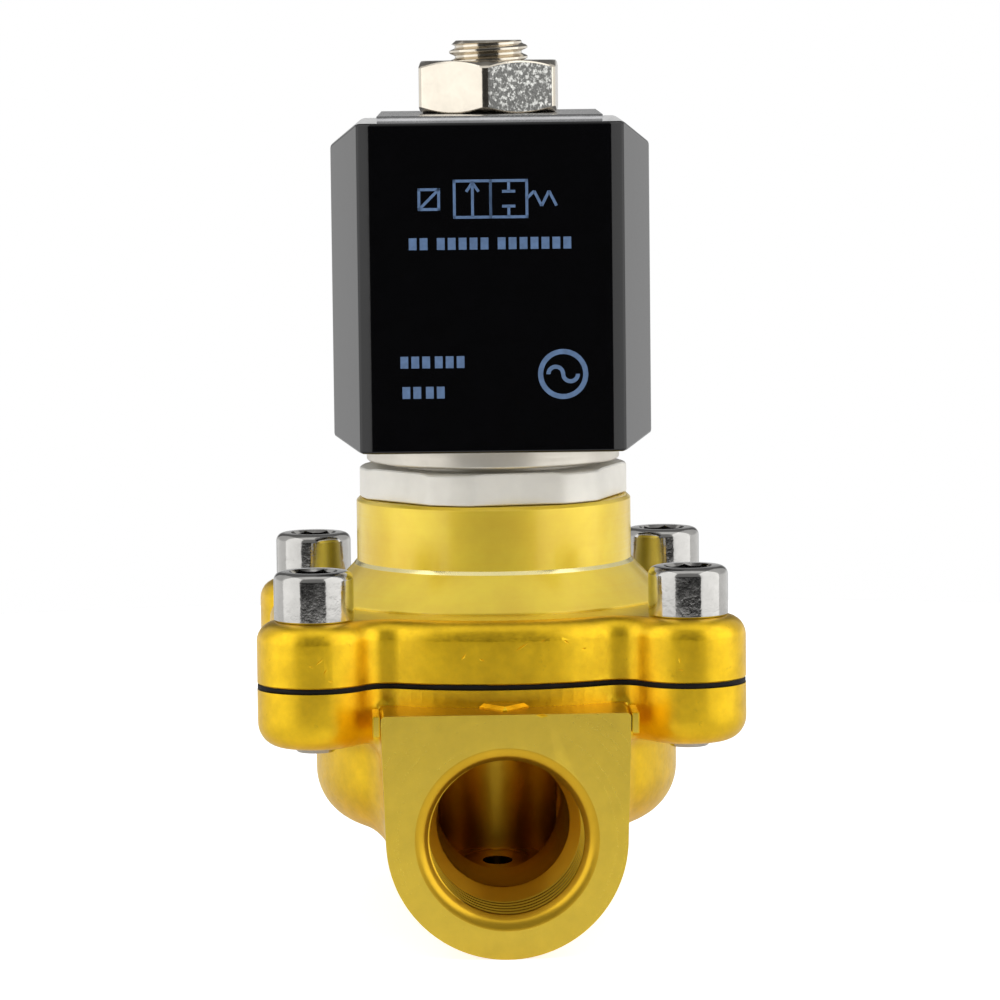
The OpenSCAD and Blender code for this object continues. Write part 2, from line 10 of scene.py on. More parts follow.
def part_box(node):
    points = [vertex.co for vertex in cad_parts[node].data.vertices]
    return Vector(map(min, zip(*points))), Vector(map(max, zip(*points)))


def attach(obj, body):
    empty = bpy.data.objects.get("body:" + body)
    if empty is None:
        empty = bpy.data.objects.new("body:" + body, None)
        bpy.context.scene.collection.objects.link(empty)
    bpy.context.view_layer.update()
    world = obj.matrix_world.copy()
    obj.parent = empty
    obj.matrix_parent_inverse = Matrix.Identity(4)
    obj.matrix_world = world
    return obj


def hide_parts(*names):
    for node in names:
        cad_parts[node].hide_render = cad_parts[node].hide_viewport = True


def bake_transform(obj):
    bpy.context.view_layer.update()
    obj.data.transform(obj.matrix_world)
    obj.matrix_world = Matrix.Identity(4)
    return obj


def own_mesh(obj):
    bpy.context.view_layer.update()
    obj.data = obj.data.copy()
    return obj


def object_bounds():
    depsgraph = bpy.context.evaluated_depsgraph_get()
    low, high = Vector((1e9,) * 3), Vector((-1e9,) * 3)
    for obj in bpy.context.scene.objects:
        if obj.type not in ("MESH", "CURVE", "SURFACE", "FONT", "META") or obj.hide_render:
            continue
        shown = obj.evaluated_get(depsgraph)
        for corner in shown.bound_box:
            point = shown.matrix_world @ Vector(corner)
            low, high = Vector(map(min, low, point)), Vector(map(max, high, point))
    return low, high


# Shapes are drawn in millimetres about the stem axis, with z = 0 on the flow axis.
# add_piece() puts them in the frame.
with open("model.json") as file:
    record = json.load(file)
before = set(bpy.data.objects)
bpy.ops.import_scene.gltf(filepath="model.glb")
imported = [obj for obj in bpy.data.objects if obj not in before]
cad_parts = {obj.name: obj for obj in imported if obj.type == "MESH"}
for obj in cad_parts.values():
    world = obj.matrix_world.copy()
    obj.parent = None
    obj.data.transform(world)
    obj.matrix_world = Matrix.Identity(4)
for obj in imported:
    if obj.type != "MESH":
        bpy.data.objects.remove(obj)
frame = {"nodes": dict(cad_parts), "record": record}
cad_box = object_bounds()

MM = 0.001
TAU = 2 * math.pi
TINY = 1e-6


def middle(node):
    low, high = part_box(node)
    return (low + high) / 2


def levels(node):
    """Lowest and highest z of a CAD node, in millimetres."""
    low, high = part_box(node)
    return low.z / MM, high.z / MM


STEM = Vector((middle("fixed_core").x, middle("fixed_core").y, 0))
plug_axis = next(m["axis"] for m in frame["record"]["mounts"] if m["name"] == "connector_face")
COIL_TURN = math.atan2(-plug_axis[0], plug_axis[1])
TO_FRAME = Matrix.Translation(STEM) @ Matrix.Scale(MM, 4)

# valve body
FACE_Y = 34.3
BOSS_R = 14.54
BOSS_TOP_Z = 15.1
BOSS_TOP_HALF_W = 15.0
BOWL_R = 22.7
BOWL_EDGE_R = 7.0
BOWL_BOTTOM_Z = -2.9
PORT_MINOR_R = 9.32
PORT_MAJOR_R = 10.4775
PORT_PITCH = 1.814
PORT_MOUTH_R = 11.1
THREAD_LEN = 12.6
FLOW_R = 8.1
ORIFICE_R = 7.5
PASSAGE_FLOOR_Z = -8.0
SEAT_Z = 15.8
CHAMBER_R = 18.5
CHAMBER_FLOOR_Z = 10.2

# flange shared by the body, the diaphragm and the bonnet
SCREW_HALF = 22.73
CORNER_DIST = SCREW_HALF * math.sqrt(2)
CORNERS = [math.radians(a) for a in (45, 135, 225, 315)]
FLANGE_R = 28.3
EAR_R = 7.0
NECK_R = 3.5
BODY_FLANGE_Z0 = 10.1
BODY_FLANGE_Z1 = 17.2
BONNET_Z0 = 17.85
BONNET_FLANGE_Z1 = 25.42

# turned upper part
CONE_FOOT_R = 21.6
CONE_Z1 = 30.23
TOWER_R = 17.21
TOWER_Z1 = levels("bonnet")[1]
TUBE_R = 8.0
TUBE_GAP = 0.1
STUD_R = 4.9
SCREW_R = 2.95


# ---- outlines ----

def arc(centre, radius, start, end, steps):
    """Points of an arc in the plane, both ends included."""
    return [
        (centre[0] + radius * math.cos(start + (end - start) * i / steps),
         centre[1] + radius * math.sin(start + (end - start) * i / steps))
        for i in range(steps + 1)
    ]


def rounded(points, radius, steps=4):
    """A closed outline whose corners are arcs; radius is one number, or one for each corner."""
    radii = radius if hasattr(radius, "__len__") else [radius] * len(points)
    out = []
    for i, r in enumerate(radii):
        here = Vector(points[i])
        back = Vector(points[i - 1]) - here
        ahead = Vector(points[(i + 1) % len(points)]) - here
        half = back.angle(ahead) / 2 if r > 0 else math.pi / 2
        if r <= 0 or half > math.radians(88):
            out.append(tuple(here))
            continue
        reach = min(r / math.tan(half), 0.48 * back.length, 0.48 * ahead.length)
        r = reach * math.tan(half)
        back.normalize()
        ahead.normalize()
        centre = here + (back + ahead).normalized() * (r / math.sin(half))
        first = here + back * reach - centre
        last = here + ahead * reach - centre
        turn = math.atan2(first.x * last.y - first.y * last.x, first.dot(last))
        start = math.atan2(first.y, first.x)
        out += arc(centre, r, start, start + turn, steps)
    return out


def flange_outline(inset=0.0, ear_steps=26, neck_steps=7, round_steps=18):
    """Outline of the flange: four ears that run into the round middle through hollows."""
    reach = FLANGE_R + NECK_R
    cosine = (reach ** 2 + CORNER_DIST ** 2 - (EAR_R + NECK_R) ** 2) / (2 * reach * CORNER_DIST)
    neck_turn = math.acos(cosine)
    ear_x = CORNER_DIST - reach * math.cos(neck_turn)
    ear_turn = math.pi - math.atan2(reach * math.sin(neck_turn), ear_x)
    out = []
    for a in CORNERS:
        ear = (CORNER_DIST * math.cos(a), CORNER_DIST * math.sin(a))
        for side in (-1, 1):
            at = a + side * neck_turn
            neck = (reach * math.cos(at), reach * math.sin(at))
            hollow = arc(neck, NECK_R + inset, at + math.pi, a + side * ear_turn + math.pi, neck_steps)
            if side < 0:
                out += hollow[:-1]
                out += arc(ear, EAR_R - inset, a - ear_turn, a + ear_turn, ear_steps)[:-1]
            else:
                out += hollow[::-1]
                after = a + math.pi / 2 - neck_turn
                out += arc((0, 0), FLANGE_R - inset, at, after, round_steps)[1:-1]
    return out


# ---- solids ----

def solid(verts, faces):
    """A temporary object, in millimetres, with its faces turned outwards."""
    mesh = bpy.data.meshes.new("shape")
    mesh.from_pydata(np.asarray(verts, float).tolist(), [], [list(f) for f in faces])
    edit = bmesh.new()
    edit.from_mesh(mesh)
    bmesh.ops.remove_doubles(edit, verts=edit.verts, dist=TINY)
    bmesh.ops.recalc_face_normals(edit, faces=edit.faces)
    edit.to_mesh(mesh)
    edit.free()
    obj = bpy.data.objects.new("shape", mesh)
    bpy.context.scene.collection.objects.link(obj)
    return obj


def loft(rings, closed=False):
    """Quads between rings that have the same number of points; open ends are capped."""
    count = len(rings[0])
    verts = np.concatenate([np.asarray(r, float) for r in rings])
    faces = []
    pairs = list(range(len(rings) - 1)) + ([len(rings) - 1] if closed else [])
    for i in pairs:
        a, b = i * count, (i + 1) % len(rings) * count
        faces += [(a + j, a + (j + 1) % count, b + (j + 1) % count, b + j) for j in range(count)]
    if not closed:
        last = (len(rings) - 1) * count
        faces += [list(range(count))[::-1], list(range(last, last + count))]
    return solid(verts, faces)


def ring_at(outline, z):
    return [(x, y, z) for x, y in outline]


def prism(outline, z0, z1):
    return loft([ring_at(outline, z0), ring_at(outline, z1)])


def lathe(profile, segments=96):
    """A closed outline of (radius, z) turned round the stem axis."""
    verts, rings, faces = [], [], []
    for radius, z in profile:
        first = len(verts)
        if radius < TINY:
            verts.append((0, 0, z))
            rings.append([first] * segments)
            continue
        verts += [(radius * math.cos(TAU * j / segments), radius * math.sin(TAU * j / segments), z)
            for j in range(segments)]
        rings.append(list(range(first, first + segments)))
    for a, b in zip(rings, rings[1:] + rings[:1]):
        for j in range(segments):
            k = (j + 1) % segments
            face = list(dict.fromkeys((a[j], a[k], b[k], b[j])))
            if len(face) > 2:
                faces.append(face)
    return solid(verts, faces)


def cylinder(radius, z0, z1, segments=48):
    return lathe([(0, z0), (radius, z0), (radius, z1), (0, z1)], segments)


def block(low, high, radius=0.0, steps=3):
    """A box whose four upright edges are rounded."""
    corners = [(low[0], low[1]), (high[0], low[1]), (high[0], high[1]), (low[0], high[1])]
    return prism(rounded(corners, radius, steps), low[2], high[2])


def hexagon(across_flats, turn=0.0, edge=0.0, steps=3):
    corner = across_flats / math.sqrt(3)
    points = [(corner * math.cos(turn + TAU * i / 6), corner * math.sin(turn + TAU * i / 6))
        for i in range(6)]
    return rounded(points, edge, steps) if edge else points


def thread(major_r, minor_r, pitch, z0, z1, segments=64, rows=8, fade=0.0, fade_out=0.0):
    """A rod with a helical thread, which fades over the length fade at z0 and over fade_out at z1."""
    turns = math.ceil((z1 - z0) / pitch)
    last = rows * turns
    index, verts = {}, []
    for j in range(segments):
        for i in range(last + 1 + (rows if j == 0 else 0)):
            z = z0 + pitch * (i / rows + j / segments)
            height = min(1.0, max(0.0, 0.5 - 0.75 * math.cos(TAU * i / rows)))
            if fade:
                height *= min(1.0, max(0.0, (z - z0) / fade))
            if fade_out:
                height *= min(1.0, max(0.0, (z1 - z) / fade_out))
            radius = minor_r + (major_r - minor_r) * height
            index[i, j] = len(verts)
            verts.append((radius * math.cos(TAU * j / segments), radius * math.sin(TAU * j / segments), z))

    def at(i, j):
        return index[(i + rows, 0) if j == segments else (i, j)]

    faces = [(at(i, j), at(i, j + 1), at(i + 1, j + 1), at(i + 1, j)) for i in range(last)
        for j in range(segments)]
    for i, z in ((0, z0), (last, z0 + pitch * turns)):
        rim = [at(i, j) for j in range(segments + 1)] + [index[i + k, 0] for k in range(rows - 1, 0, -1)]
        verts.append((0, 0, z + pitch / 2))
        faces += [(len(verts) - 1, rim[k], rim[(k + 1) % len(rim)]) for k in range(len(rim))]
    return solid(verts, faces)


def moved(obj, matrix):
    obj.data.transform(matrix)
    if matrix.determinant() < 0:
        obj.data.flip_normals()
    return obj


def shifted(obj, x=0.0, y=0.0, z=0.0):
    return moved(obj, Matrix.Translation((x, y, z)))


def at_corner(obj, angle, z=0.0):
    """Puts a shape drawn on the stem axis on a screw's axis."""
    return shifted(obj, CORNER_DIST * math.cos(angle), CORNER_DIST * math.sin(angle), z)


def along_port(obj, outlet):
    """Lays a shape drawn along +z on the flow axis, pointing out of the outlet or the inlet."""
    return moved(obj, Matrix.Rotation(math.radians(90 if outlet else -90), 4, "X"))


def apply_modifiers(obj):
    graph = bpy.context.evaluated_depsgraph_get()
    mesh = bpy.data.meshes.new_from_object(obj.evaluated_get(graph), depsgraph=graph)
    obj.modifiers.clear()
    obj.data = mesh
    return obj


def drop(obj):
    bpy.data.objects.remove(obj)


def combine(obj, others, operation):
    """Unites, cuts or intersects obj with the other solids, which are used up."""
    for other in others:
        step = obj.modifiers.new(operation, "BOOLEAN")
        step.operation = operation
        step.solver = "MANIFOLD"
        step.object = other
        apply_modifiers(obj)
        drop(other)
    return obj


def unite(obj, *others):
    return combine(obj, others, "UNION")


def cut(obj, *others):
    return combine(obj, others, "DIFFERENCE")


def common(obj, *others):
    return combine(obj, others, "INTERSECT")


def soften(obj, width, steps=2, angle=28):
    """Rounds the edges that are sharper than angle."""
    step = obj.modifiers.new("soften", "BEVEL")
    step.width = width
    step.segments = steps
    step.limit_method = "ANGLE"
    step.angle_limit = math.radians(angle)
    step.harden_normals = False
    return apply_modifiers(obj)


def gather(objs):
    """Several solids as one object."""
    edit = bmesh.new()
    for obj in objs:
        edit.from_mesh(obj.data)
    edit.to_mesh(objs[0].data)
    edit.free()
    for obj in objs[1:]:
        drop(obj)
    return objs[0]


# ---- forgings: a distance field, skinned and pulled onto its surface ----

def union_round(a, b, radius):
    """Union with a fillet of that radius."""
    return np.maximum(radius, np.minimum(a, b)) - np.hypot(np.maximum(radius - a, 0),
        np.maximum(radius - b, 0))


def common_round(a, b, radius):
    """Intersection with an edge of that radius."""
    return np.minimum(-radius, np.maximum(a, b)) + np.hypot(np.maximum(radius + a, 0),
        np.maximum(radius + b, 0))


def skin(distance, low, high, cell):
    """Closed quad mesh of the surface where distance(x, y, z) is 0, by surface nets."""
    axes = [np.arange(a, b + cell, cell) for a, b in zip(low, high)]
    value = distance(*np.meshgrid(*axes, indexing="ij"))
    inside = value < 0
    cells = tuple(n - 1 for n in value.shape)
    total = np.zeros(cells + (3,))
    count = np.zeros(cells)
    crossings = []
    for axis in range(3):
        here = [slice(None)] * 3
        there = [slice(None)] * 3
        here[axis], there[axis] = slice(0, -1), slice(1, None)
        a, b = value[tuple(here)], value[tuple(there)]
        i = np.argwhere(inside[tuple(here)] != inside[tuple(there)])
        share = a[tuple(i.T)] / (a[tuple(i.T)] - b[tuple(i.T)])
        point = i.astype(float)
        point[:, axis] += share
        p, q = (axis + 1) % 3, (axis + 2) % 3
        around = []
        for dp, dq in ((1, 1), (0, 1), (0, 0), (1, 0)):
            c = i.copy()
            c[:, p] -= dp
            c[:, q] -= dq
            np.add.at(total, tuple(c.T), point)
            np.add.at(count, tuple(c.T), 1)
            around.append(c)
        crossings.append((around, inside[tuple(here)][tuple(i.T)]))
    used = count > 0
    number = np.full(cells, -1)
    number[used] = np.arange(used.sum())
    verts = np.array(low) + cell * total[used] / count[used][:, None]
    faces = []
    for around, outward in crossings:
        quad = np.stack([number[tuple(c.T)] for c in around], 1)
        quad[~outward] = quad[~outward][:, ::-1]
        faces.append(quad)
    step = cell * 0.05
    for _ in range(4):
        slope = np.stack([
            (distance(*(verts + d).T) - distance(*(verts - d).T)) / (2 * step)
            for d in np.eye(3) * step
        ], 1)
        length = np.maximum((slope ** 2).sum(1), 0.05)
        verts -= np.clip(distance(*verts.T) / length, -cell, cell)[:, None] * slope
    return solid(verts, np.concatenate(faces))


def flange_distance(x, y):
    middle_part = np.hypot(x, y) - FLANGE_R
    ear = np.hypot(np.abs(x) - SCREW_HALF, np.abs(y) - SCREW_HALF) - EAR_R
    return union_round(middle_part, ear, NECK_R)


def body_distance(x, y, z):
    """The raw forging of the body, longer and higher than its machined faces."""
    flange = common_round(flange_distance(x, y), BODY_FLANGE_Z0 - z, 3.0)
    bowl = common_round(np.hypot(x, y) - BOWL_R, BOWL_BOTTOM_Z - z, BOWL_EDGE_R)
    lower_boss = np.hypot(x, z) - BOSS_R
    half_w = BOSS_R + (BOSS_TOP_HALF_W - BOSS_R) * np.clip(z, 0, None) / BOSS_TOP_Z
    upper_boss = common_round(np.abs(x) - half_w, z - BOSS_TOP_Z, 0.5)
    boss = np.where(z < 0, lower_boss, upper_boss)
    # the flange blends softly into the bowl below it, and almost sharply into the boss's flat top
    fillet = 0.45 + 2.0 * np.clip((12.3 - z) / 3, 0, 1)
    outer = union_round(bowl, boss, 2.2)
    outer = union_round(outer, flange, fillet)
    return np.maximum(outer, np.maximum(np.abs(y) - FACE_Y - 0.9, z - BODY_FLANGE_Z1 - 0.9))


# ---- pieces ----

def port_cutter(outlet):
    """Countersink, thread, run-out and flow bore of one port."""
    inner_y = 0.0 if outlet else 11.5
    thread_y = FACE_Y - THREAD_LEN
    runout_r = PORT_MINOR_R + 0.62
    bore = lathe(rounded([
        (0, inner_y - 0.6), (FLOW_R, inner_y - 0.6), (FLOW_R, thread_y - 1.3), (runout_r, thread_y + 0.1),
        (runout_r, thread_y + 1.5), (PORT_MINOR_R, thread_y + 2.2), (PORT_MINOR_R, FACE_Y - 1.5),
        (PORT_MOUTH_R - 1.1, FACE_Y - 0.65), (PORT_MOUTH_R + 0.56, FACE_Y + 0.35),
        (PORT_MOUTH_R + 0.56, FACE_Y + 2),
        (0, FACE_Y + 2)
    ], [0, 2.2, 0.25, 0.25, 0.2, 0.2, 0.4, 1.5, 0, 0, 0], 5), 128)
    groove = thread(PORT_MAJOR_R, PORT_MINOR_R - 0.3, PORT_PITCH, thread_y + 0.4, FACE_Y - 0.8, 96, 8, 2.5,
        1.5)
    return [along_port(part, outlet) for part in (bore, groove)]


def chamber_cutter():
    return lathe([
        (0, SEAT_Z), (8.7, SEAT_Z), (9.6, SEAT_Z - 1.2), (9.6, CHAMBER_FLOOR_Z + 0.6),
        (10.2, CHAMBER_FLOOR_Z),
        (CHAMBER_R - 0.8, CHAMBER_FLOOR_Z), (CHAMBER_R, CHAMBER_FLOOR_Z + 0.8),
        (CHAMBER_R, BODY_FLANGE_Z1 + 2), (0, BODY_FLANGE_Z1 + 2)
    ], 128)


def inlet_pocket_cutter():
    ring = lathe([
        (9.6, 0.2), (15.5, 0.2), (CHAMBER_R, 2.5), (CHAMBER_R, CHAMBER_FLOOR_Z + 1),
        (9.6, CHAMBER_FLOOR_Z + 1)
    ], 128)
    return common(ring, block((-20, 3, -4), (20, 20, CHAMBER_FLOOR_Z + 1.5)))


def orifice_cutters():
    bore = cylinder(ORIFICE_R, PASSAGE_FLOOR_Z, SEAT_Z + 1, 128)
    dimple = lathe([
        (0, PASSAGE_FLOOR_Z - 3.9), (1.9, PASSAGE_FLOOR_Z - 3.4), (2.1, PASSAGE_FLOOR_Z - 0.3),
        (4.6, PASSAGE_FLOOR_Z - 0.12),
        (4.9, PASSAGE_FLOOR_Z + 1), (0, PASSAGE_FLOOR_Z + 1)
    ], 48)
    return [bore, moved(dimple, Matrix.Diagonal((0.9, 1.5, 1, 1)))]


def flow_arrow():
    """Raised arrow on the boss's top: a shaft and two bevelled wings."""
    tip, wing, tail = -32.0, -27.6, -24.0
    shape = prism(
        [(0, tip), (3.4, wing), (2.0, wing), (2.0, tail), (-2.0, tail), (-2.0, wing), (-3.4, wing)],
        BOSS_TOP_Z - 1, BOSS_TOP_Z + 0.58
    )
    return soften(shape, 0.42, 1)


def nick(x, y, z, length, angle, facing, width=0.15):
    """A shallow scratch cutter on a surface that faces the angle facing about the stem."""
    half = length / 2
    points = [(-half, 0, 0), (0, 0, width), (half, 0, 0), (0, 0, -width), (0, -0.5, 0), (0, 0.7 * width, 0)]
    faces = [(0, 1, 4), (1, 2, 4), (2, 3, 4), (3, 0, 4), (1, 0, 5), (2, 1, 5), (3, 2, 5), (0, 3, 5)]
    shape = solid(points, faces)
    place = Matrix.Translation((x, y, z)) @ Matrix.Rotation(facing, 4, "Z") @ Matrix.Rotation(angle, 4, "Y")
    return moved(shape, place)


def front_nicks(marks, radius=FLANGE_R, centre=(0, 0)):
    """Handling marks on the round front of the flange or of an ear: (x, z, length, slope in degrees)."""
    out = []
    for x, z, length, slope in marks:
        facing = math.asin(x / radius)
        y = centre[1] - radius * math.cos(facing)
        out.append(nick(centre[0] + x, y, z, length, math.radians(slope), facing))
    return out


def valve_body():
    body = skin(body_distance, (-31, -36, -16), (31, 36, 19), 0.5)
    cut(body, block((-40, -40, BODY_FLANGE_Z1), (40, 40, 25)))
    for side in (-1, 1):
        face = [side * FACE_Y, side * (FACE_Y + 6)]
        cut(body, block((-40, min(face), -20), (40, max(face), 25)))
    for end in (-1, 1):
        step = block((-16.6, min(end * 24, end * 37), BOSS_TOP_Z),
            (16.6, max(end * 24, end * 37), BODY_FLANGE_Z1 + 0.5))
        cut(step, prism(flange_outline(), BOSS_TOP_Z - 1, BODY_FLANGE_Z1 + 1))
        cut(body, step)
    unite(body, flow_arrow())
    # ridges of flash beside the boss's top corners
    for side in (-1, 1):
        for end in (-1, 1):
            low = (side * 15.5 - 0.45, end * 31.0 - 3.3, 12.6)
            high = (side * 15.5 + 0.45, end * 31.0 + 3.25, BOSS_TOP_Z + 0.05)
            unite(body, soften(block(low, high), 0.14, 2))
    cut(body, *port_cutter(True), *port_cutter(False))
    cut(body, nick(4.3, -FACE_Y, BOSS_TOP_Z - 0.15, 1.5, 0.1, 0, 0.3))
    cut(body, chamber_cutter(), inlet_pocket_cutter(), *orifice_cutters())
    for a in CORNERS:
        cut(body, at_corner(cylinder(SCREW_R + 0.05, 8, 19), a))
    return body


def bonnet():
    edge = 2.4
    steps = 7
    rings = [ring_at(flange_outline(0.15), BONNET_Z0), ring_at(flange_outline(), BONNET_Z0 + 0.15)]
    for i in range(steps + 1):
        a = math.pi / 2 * i / steps
        inset = edge * (1 - math.cos(a))
        rings.append(ring_at(flange_outline(inset), BONNET_FLANGE_Z1 - edge + edge * math.sin(a)))
    shell = loft(rings)
    tower = lathe(rounded([
        (0, BONNET_FLANGE_Z1 - 3), (CONE_FOOT_R, BONNET_FLANGE_Z1 - 3),
        (CONE_FOOT_R, BONNET_FLANGE_Z1 + 0.3),
        (TOWER_R + 0.46, CONE_Z1 - 0.42), (TOWER_R + 0.38, CONE_Z1 - 0.30), (TOWER_R, CONE_Z1 + 0.14),
        (TOWER_R, TOWER_Z1 - 0.4), (TOWER_R - 0.4, TOWER_Z1), (0, TOWER_Z1)
    ], [0, 0, 0.3, 0, 0, 0, 0.15, 0.15, 0], 3), 192)
    unite(shell, tower)
    roof_z, neck_z, ring_bore_r = 22.6, 30.2, 13.0
    cavity = lathe([
        (0, BONNET_Z0 - 2), (19, BONNET_Z0 - 2), (19, roof_z - 2), (17, roof_z), (9, roof_z), (9, neck_z),
        (ring_bore_r, neck_z), (ring_bore_r, TOWER_Z1 - 0.5), (ring_bore_r + 0.5, TOWER_Z1 + 0.01),
        (ring_bore_r + 0.5, TOWER_Z1 + 2), (0, TOWER_Z1 + 2)
    ], 128)
    groove_r, groove_w, groove_depth = 10.7, 1.1, 1.58
    groove = lathe([
        (groove_r - groove_w, neck_z - groove_depth), (groove_r + groove_w, neck_z - groove_depth),
        (groove_r + groove_w, neck_z + 0.5), (groove_r - groove_w, neck_z + 0.5)
    ], 96)
    cut(shell, cavity, groove)
    for a in CORNERS:
        r = SCREW_R + 0.3
        top = BONNET_FLANGE_Z1
        hole = lathe([
            (0, BONNET_Z0 - 1), (r, BONNET_Z0 - 1), (r, top - 0.25), (r + 0.3, top + 0.05),
            (r + 0.3, top + 1), (0, top + 1)
        ], 48)
        cut(shell, at_corner(hole, a))
    marks = [(1.4, 23.6, 1.5, 8), (4.9, 23.1, 1.0, -25), (2.2, 22.4, 2.4, -32), (7.6, 22.9, 1.3, 35),
        (-4.8, 21.3, 1.2, -50), (-2.6, 20.9, 0.9, 28), (9.8, 21.9, 0.8, -15)]
    left_ear = [(0.6, 21.2, 1.6, -40), (1.3, 20.0, 1.2, -50), (1.9, 18.8, 0.9, 10), (-0.4, 20.6, 0.8, 20)]
    right_ear = [(-1.6, 20.7, 0.9, 80), (-1.5, 19.5, 1.1, 5)]
    cut(shell, *front_nicks(marks))
    cut(shell, *front_nicks(left_ear, EAR_R, (-SCREW_HALF, -SCREW_HALF)))
    cut(shell, *front_nicks(right_ear, EAR_R, (SCREW_HALF, -SCREW_HALF)))
    return shell


def diaphragm():
    """Wavy clamped rim, and the moulded hump between the rim and the centre's plates."""
    low, high = BODY_FLANGE_Z1, BONNET_Z0
    upper = [
        (3, 17.8), (10.3, 17.8), (11.4, high + 0.1), (12.7, high + 1), (13.7, high + 1.3),
        (14.7, high + 1.4),
        (15.7, high + 1.25), (16.6, high + 0.9), (17.4, high + 0.2), (18.4, high)
    ]
    lower = [
        (3, SEAT_Z), (10.3, SEAT_Z), (11.6, SEAT_Z + 0.5), (13, SEAT_Z + 1.8), (13.9, SEAT_Z + 2.25),
        (14.7, SEAT_Z + 2.4),
        (15.6, SEAT_Z + 2.2), (16.4, SEAT_Z + 2), (17.6, low), (18.4, low)
    ]
    edge = np.array(flange_outline(0.16, 40, 12, 60))
    angle = np.arctan2(edge[:, 1], edge[:, 0])
    wave = 0.10 * np.sin(7 * angle + 0.6) + 0.07 * np.sin(17 * angle) + 0.06 * np.sin(41 * angle + 1.3)
    unit = np.stack([np.cos(angle), np.sin(angle)], 1)

    def circle(radius, z):
        return np.column_stack([unit * radius, np.full(len(unit), z)])

    def rim(proud, z):
        return np.column_stack([edge + unit * (wave + proud)[:, None], np.full(len(edge), z)])

    rings = [circle(r, z) for r, z in upper]
    rings += [rim(-0.5, high), rim(-0.1, high), rim(0, high - 0.16)]
    rings += [rim(0, low + 0.16), rim(-0.1, low), rim(-0.5, low)]
    rings += [circle(r, z) for r, z in reversed(lower)]
    sheet = loft(rings, closed=True)
    for a in CORNERS:
        cut(sheet, at_corner(cylinder(SCREW_R + 0.35, low - 1, high + 1), a))
    bleed = cylinder(0.5, SEAT_Z, SEAT_Z + 5, 24)
    at = math.radians(100)
    cut(sheet, shifted(bleed, 14.7 * math.cos(at), 14.7 * math.sin(at)))
    return sheet


def blend_by_radius(sheet, moving_r, still_r):
    """Bakes the sheet's placement into its mesh and works out, from each point's radius about the stem, a
    share from 1 at moving_r to 0 at still_r; the share is not put to use.
    """
    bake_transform(sheet)
    co = np.array([v.co for v in sheet.data.vertices], float)
    radius = np.hypot(co[:, 0] - STEM.x, co[:, 1] - STEM.y) / MM
    share = np.clip((still_r - radius) / (still_r - moving_r), 0, 1)
    share = share * share * (3 - 2 * share)


def cap_screw(turn):
    """M6 socket head screw, with its head's underside at z = 0."""
    head_r, head_h, length, pitch = 4.85, 6.0, 16.0, 1.0
    head = lathe(rounded([(0, -0.6), (3.4, -0.6), (3.4, 0.0), (head_r - 0.15, 0), (head_r, 0.2),
        (head_r, head_h), (0, head_h)],
                         [0, 0, 0, 0.1, 0.1, 1.0, 0], 7), 96)
    socket = moved(prism(hexagon(5.0), head_h - 3, head_h + 1), Matrix.Rotation(turn, 4, "Z"))
    mouth = lathe([(0, head_h - 0.35), (2.55, head_h - 0.35), (3.05, head_h + 0.05), (3.05, head_h + 1),
        (0, head_h + 1)], 48)
    cut(head, socket, mouth)
    shank = thread(SCREW_R, SCREW_R - 0.5, pitch, -length - 1, 0.5, 40, 6)
    common(shank, lathe([(0, -length), (SCREW_R - 0.7, -length), (SCREW_R, -length + 0.7), (SCREW_R, -0.2),
        (0, -0.2)], 48))
    return unite(head, shank)


def cap_screws():
    turns = [0.3, 0.9, 0.1, 0.62]
    screws = []
    for a, turn in zip(CORNERS, turns):
        screws.append(at_corner(cap_screw(turn), a, BONNET_FLANGE_Z1))
    return gather(screws)


def hex_ring(across_flats, corner_edge, turned_r, flat_r, slope, bore_r, z0, z1, turn, low_chamfer=True):
    """A hexagonal ring whose corners are turned down to turned_r and chamfered outside flat_r."""
    outline = np.array(hexagon(across_flats, turn, corner_edge, 5))
    dense = []
    for a, b in zip(outline, np.roll(outline, -1, 0)):
        steps = max(1, round(np.hypot(*(b - a)) / 0.9))
        dense += [a + (b - a) * k / steps for k in range(steps)]
    dense = np.array(dense)
    radius = np.hypot(dense[:, 0], dense[:, 1])
    unit = dense / radius[:, None]
    outer = np.minimum(radius, turned_r)
    drop_z = np.maximum(outer - flat_r, 0) * slope

    def ring(r, z):
        return np.column_stack([unit * (r * np.ones(len(unit)))[:, None], z * np.ones(len(unit))])

    edge = 0.13
    low_z = z0 + drop_z * low_chamfer
    high_z = z1 - drop_z
    inner_edge = 0.4
    rings = [
        ring(bore_r, z0 + inner_edge), ring(bore_r + inner_edge, z0),
        ring(np.minimum(flat_r, outer) - edge, z0),
        ring(outer - edge, low_z), ring(outer, low_z + edge), ring(outer, high_z - edge),
        ring(outer - edge, high_z + edge * slope), ring(np.minimum(flat_r, outer) - edge, z1),
        ring(bore_r + inner_edge, z1), ring(bore_r, z1 - inner_edge)
    ]
    return loft(rings, closed=True)


def ring_nut():
    z0, z1 = levels("ring_nut")
    head_z0 = TOWER_Z1 + 0.14
    head = hex_ring(31.4, 0.6, 16.76, 16.3, 0.4, TUBE_R + TUBE_GAP, head_z0, z1, math.radians(69.3),
        low_chamfer=False)
    shank_r = 12.9
    shank = lathe(rounded([
        (TUBE_R + TUBE_GAP, z0), (shank_r - 0.5, z0), (shank_r, z0 + 0.5), (shank_r, head_z0 + 1),
        (TUBE_R + TUBE_GAP, head_z0 + 1)
    ], 0), 96)
    return unite(head, shank)


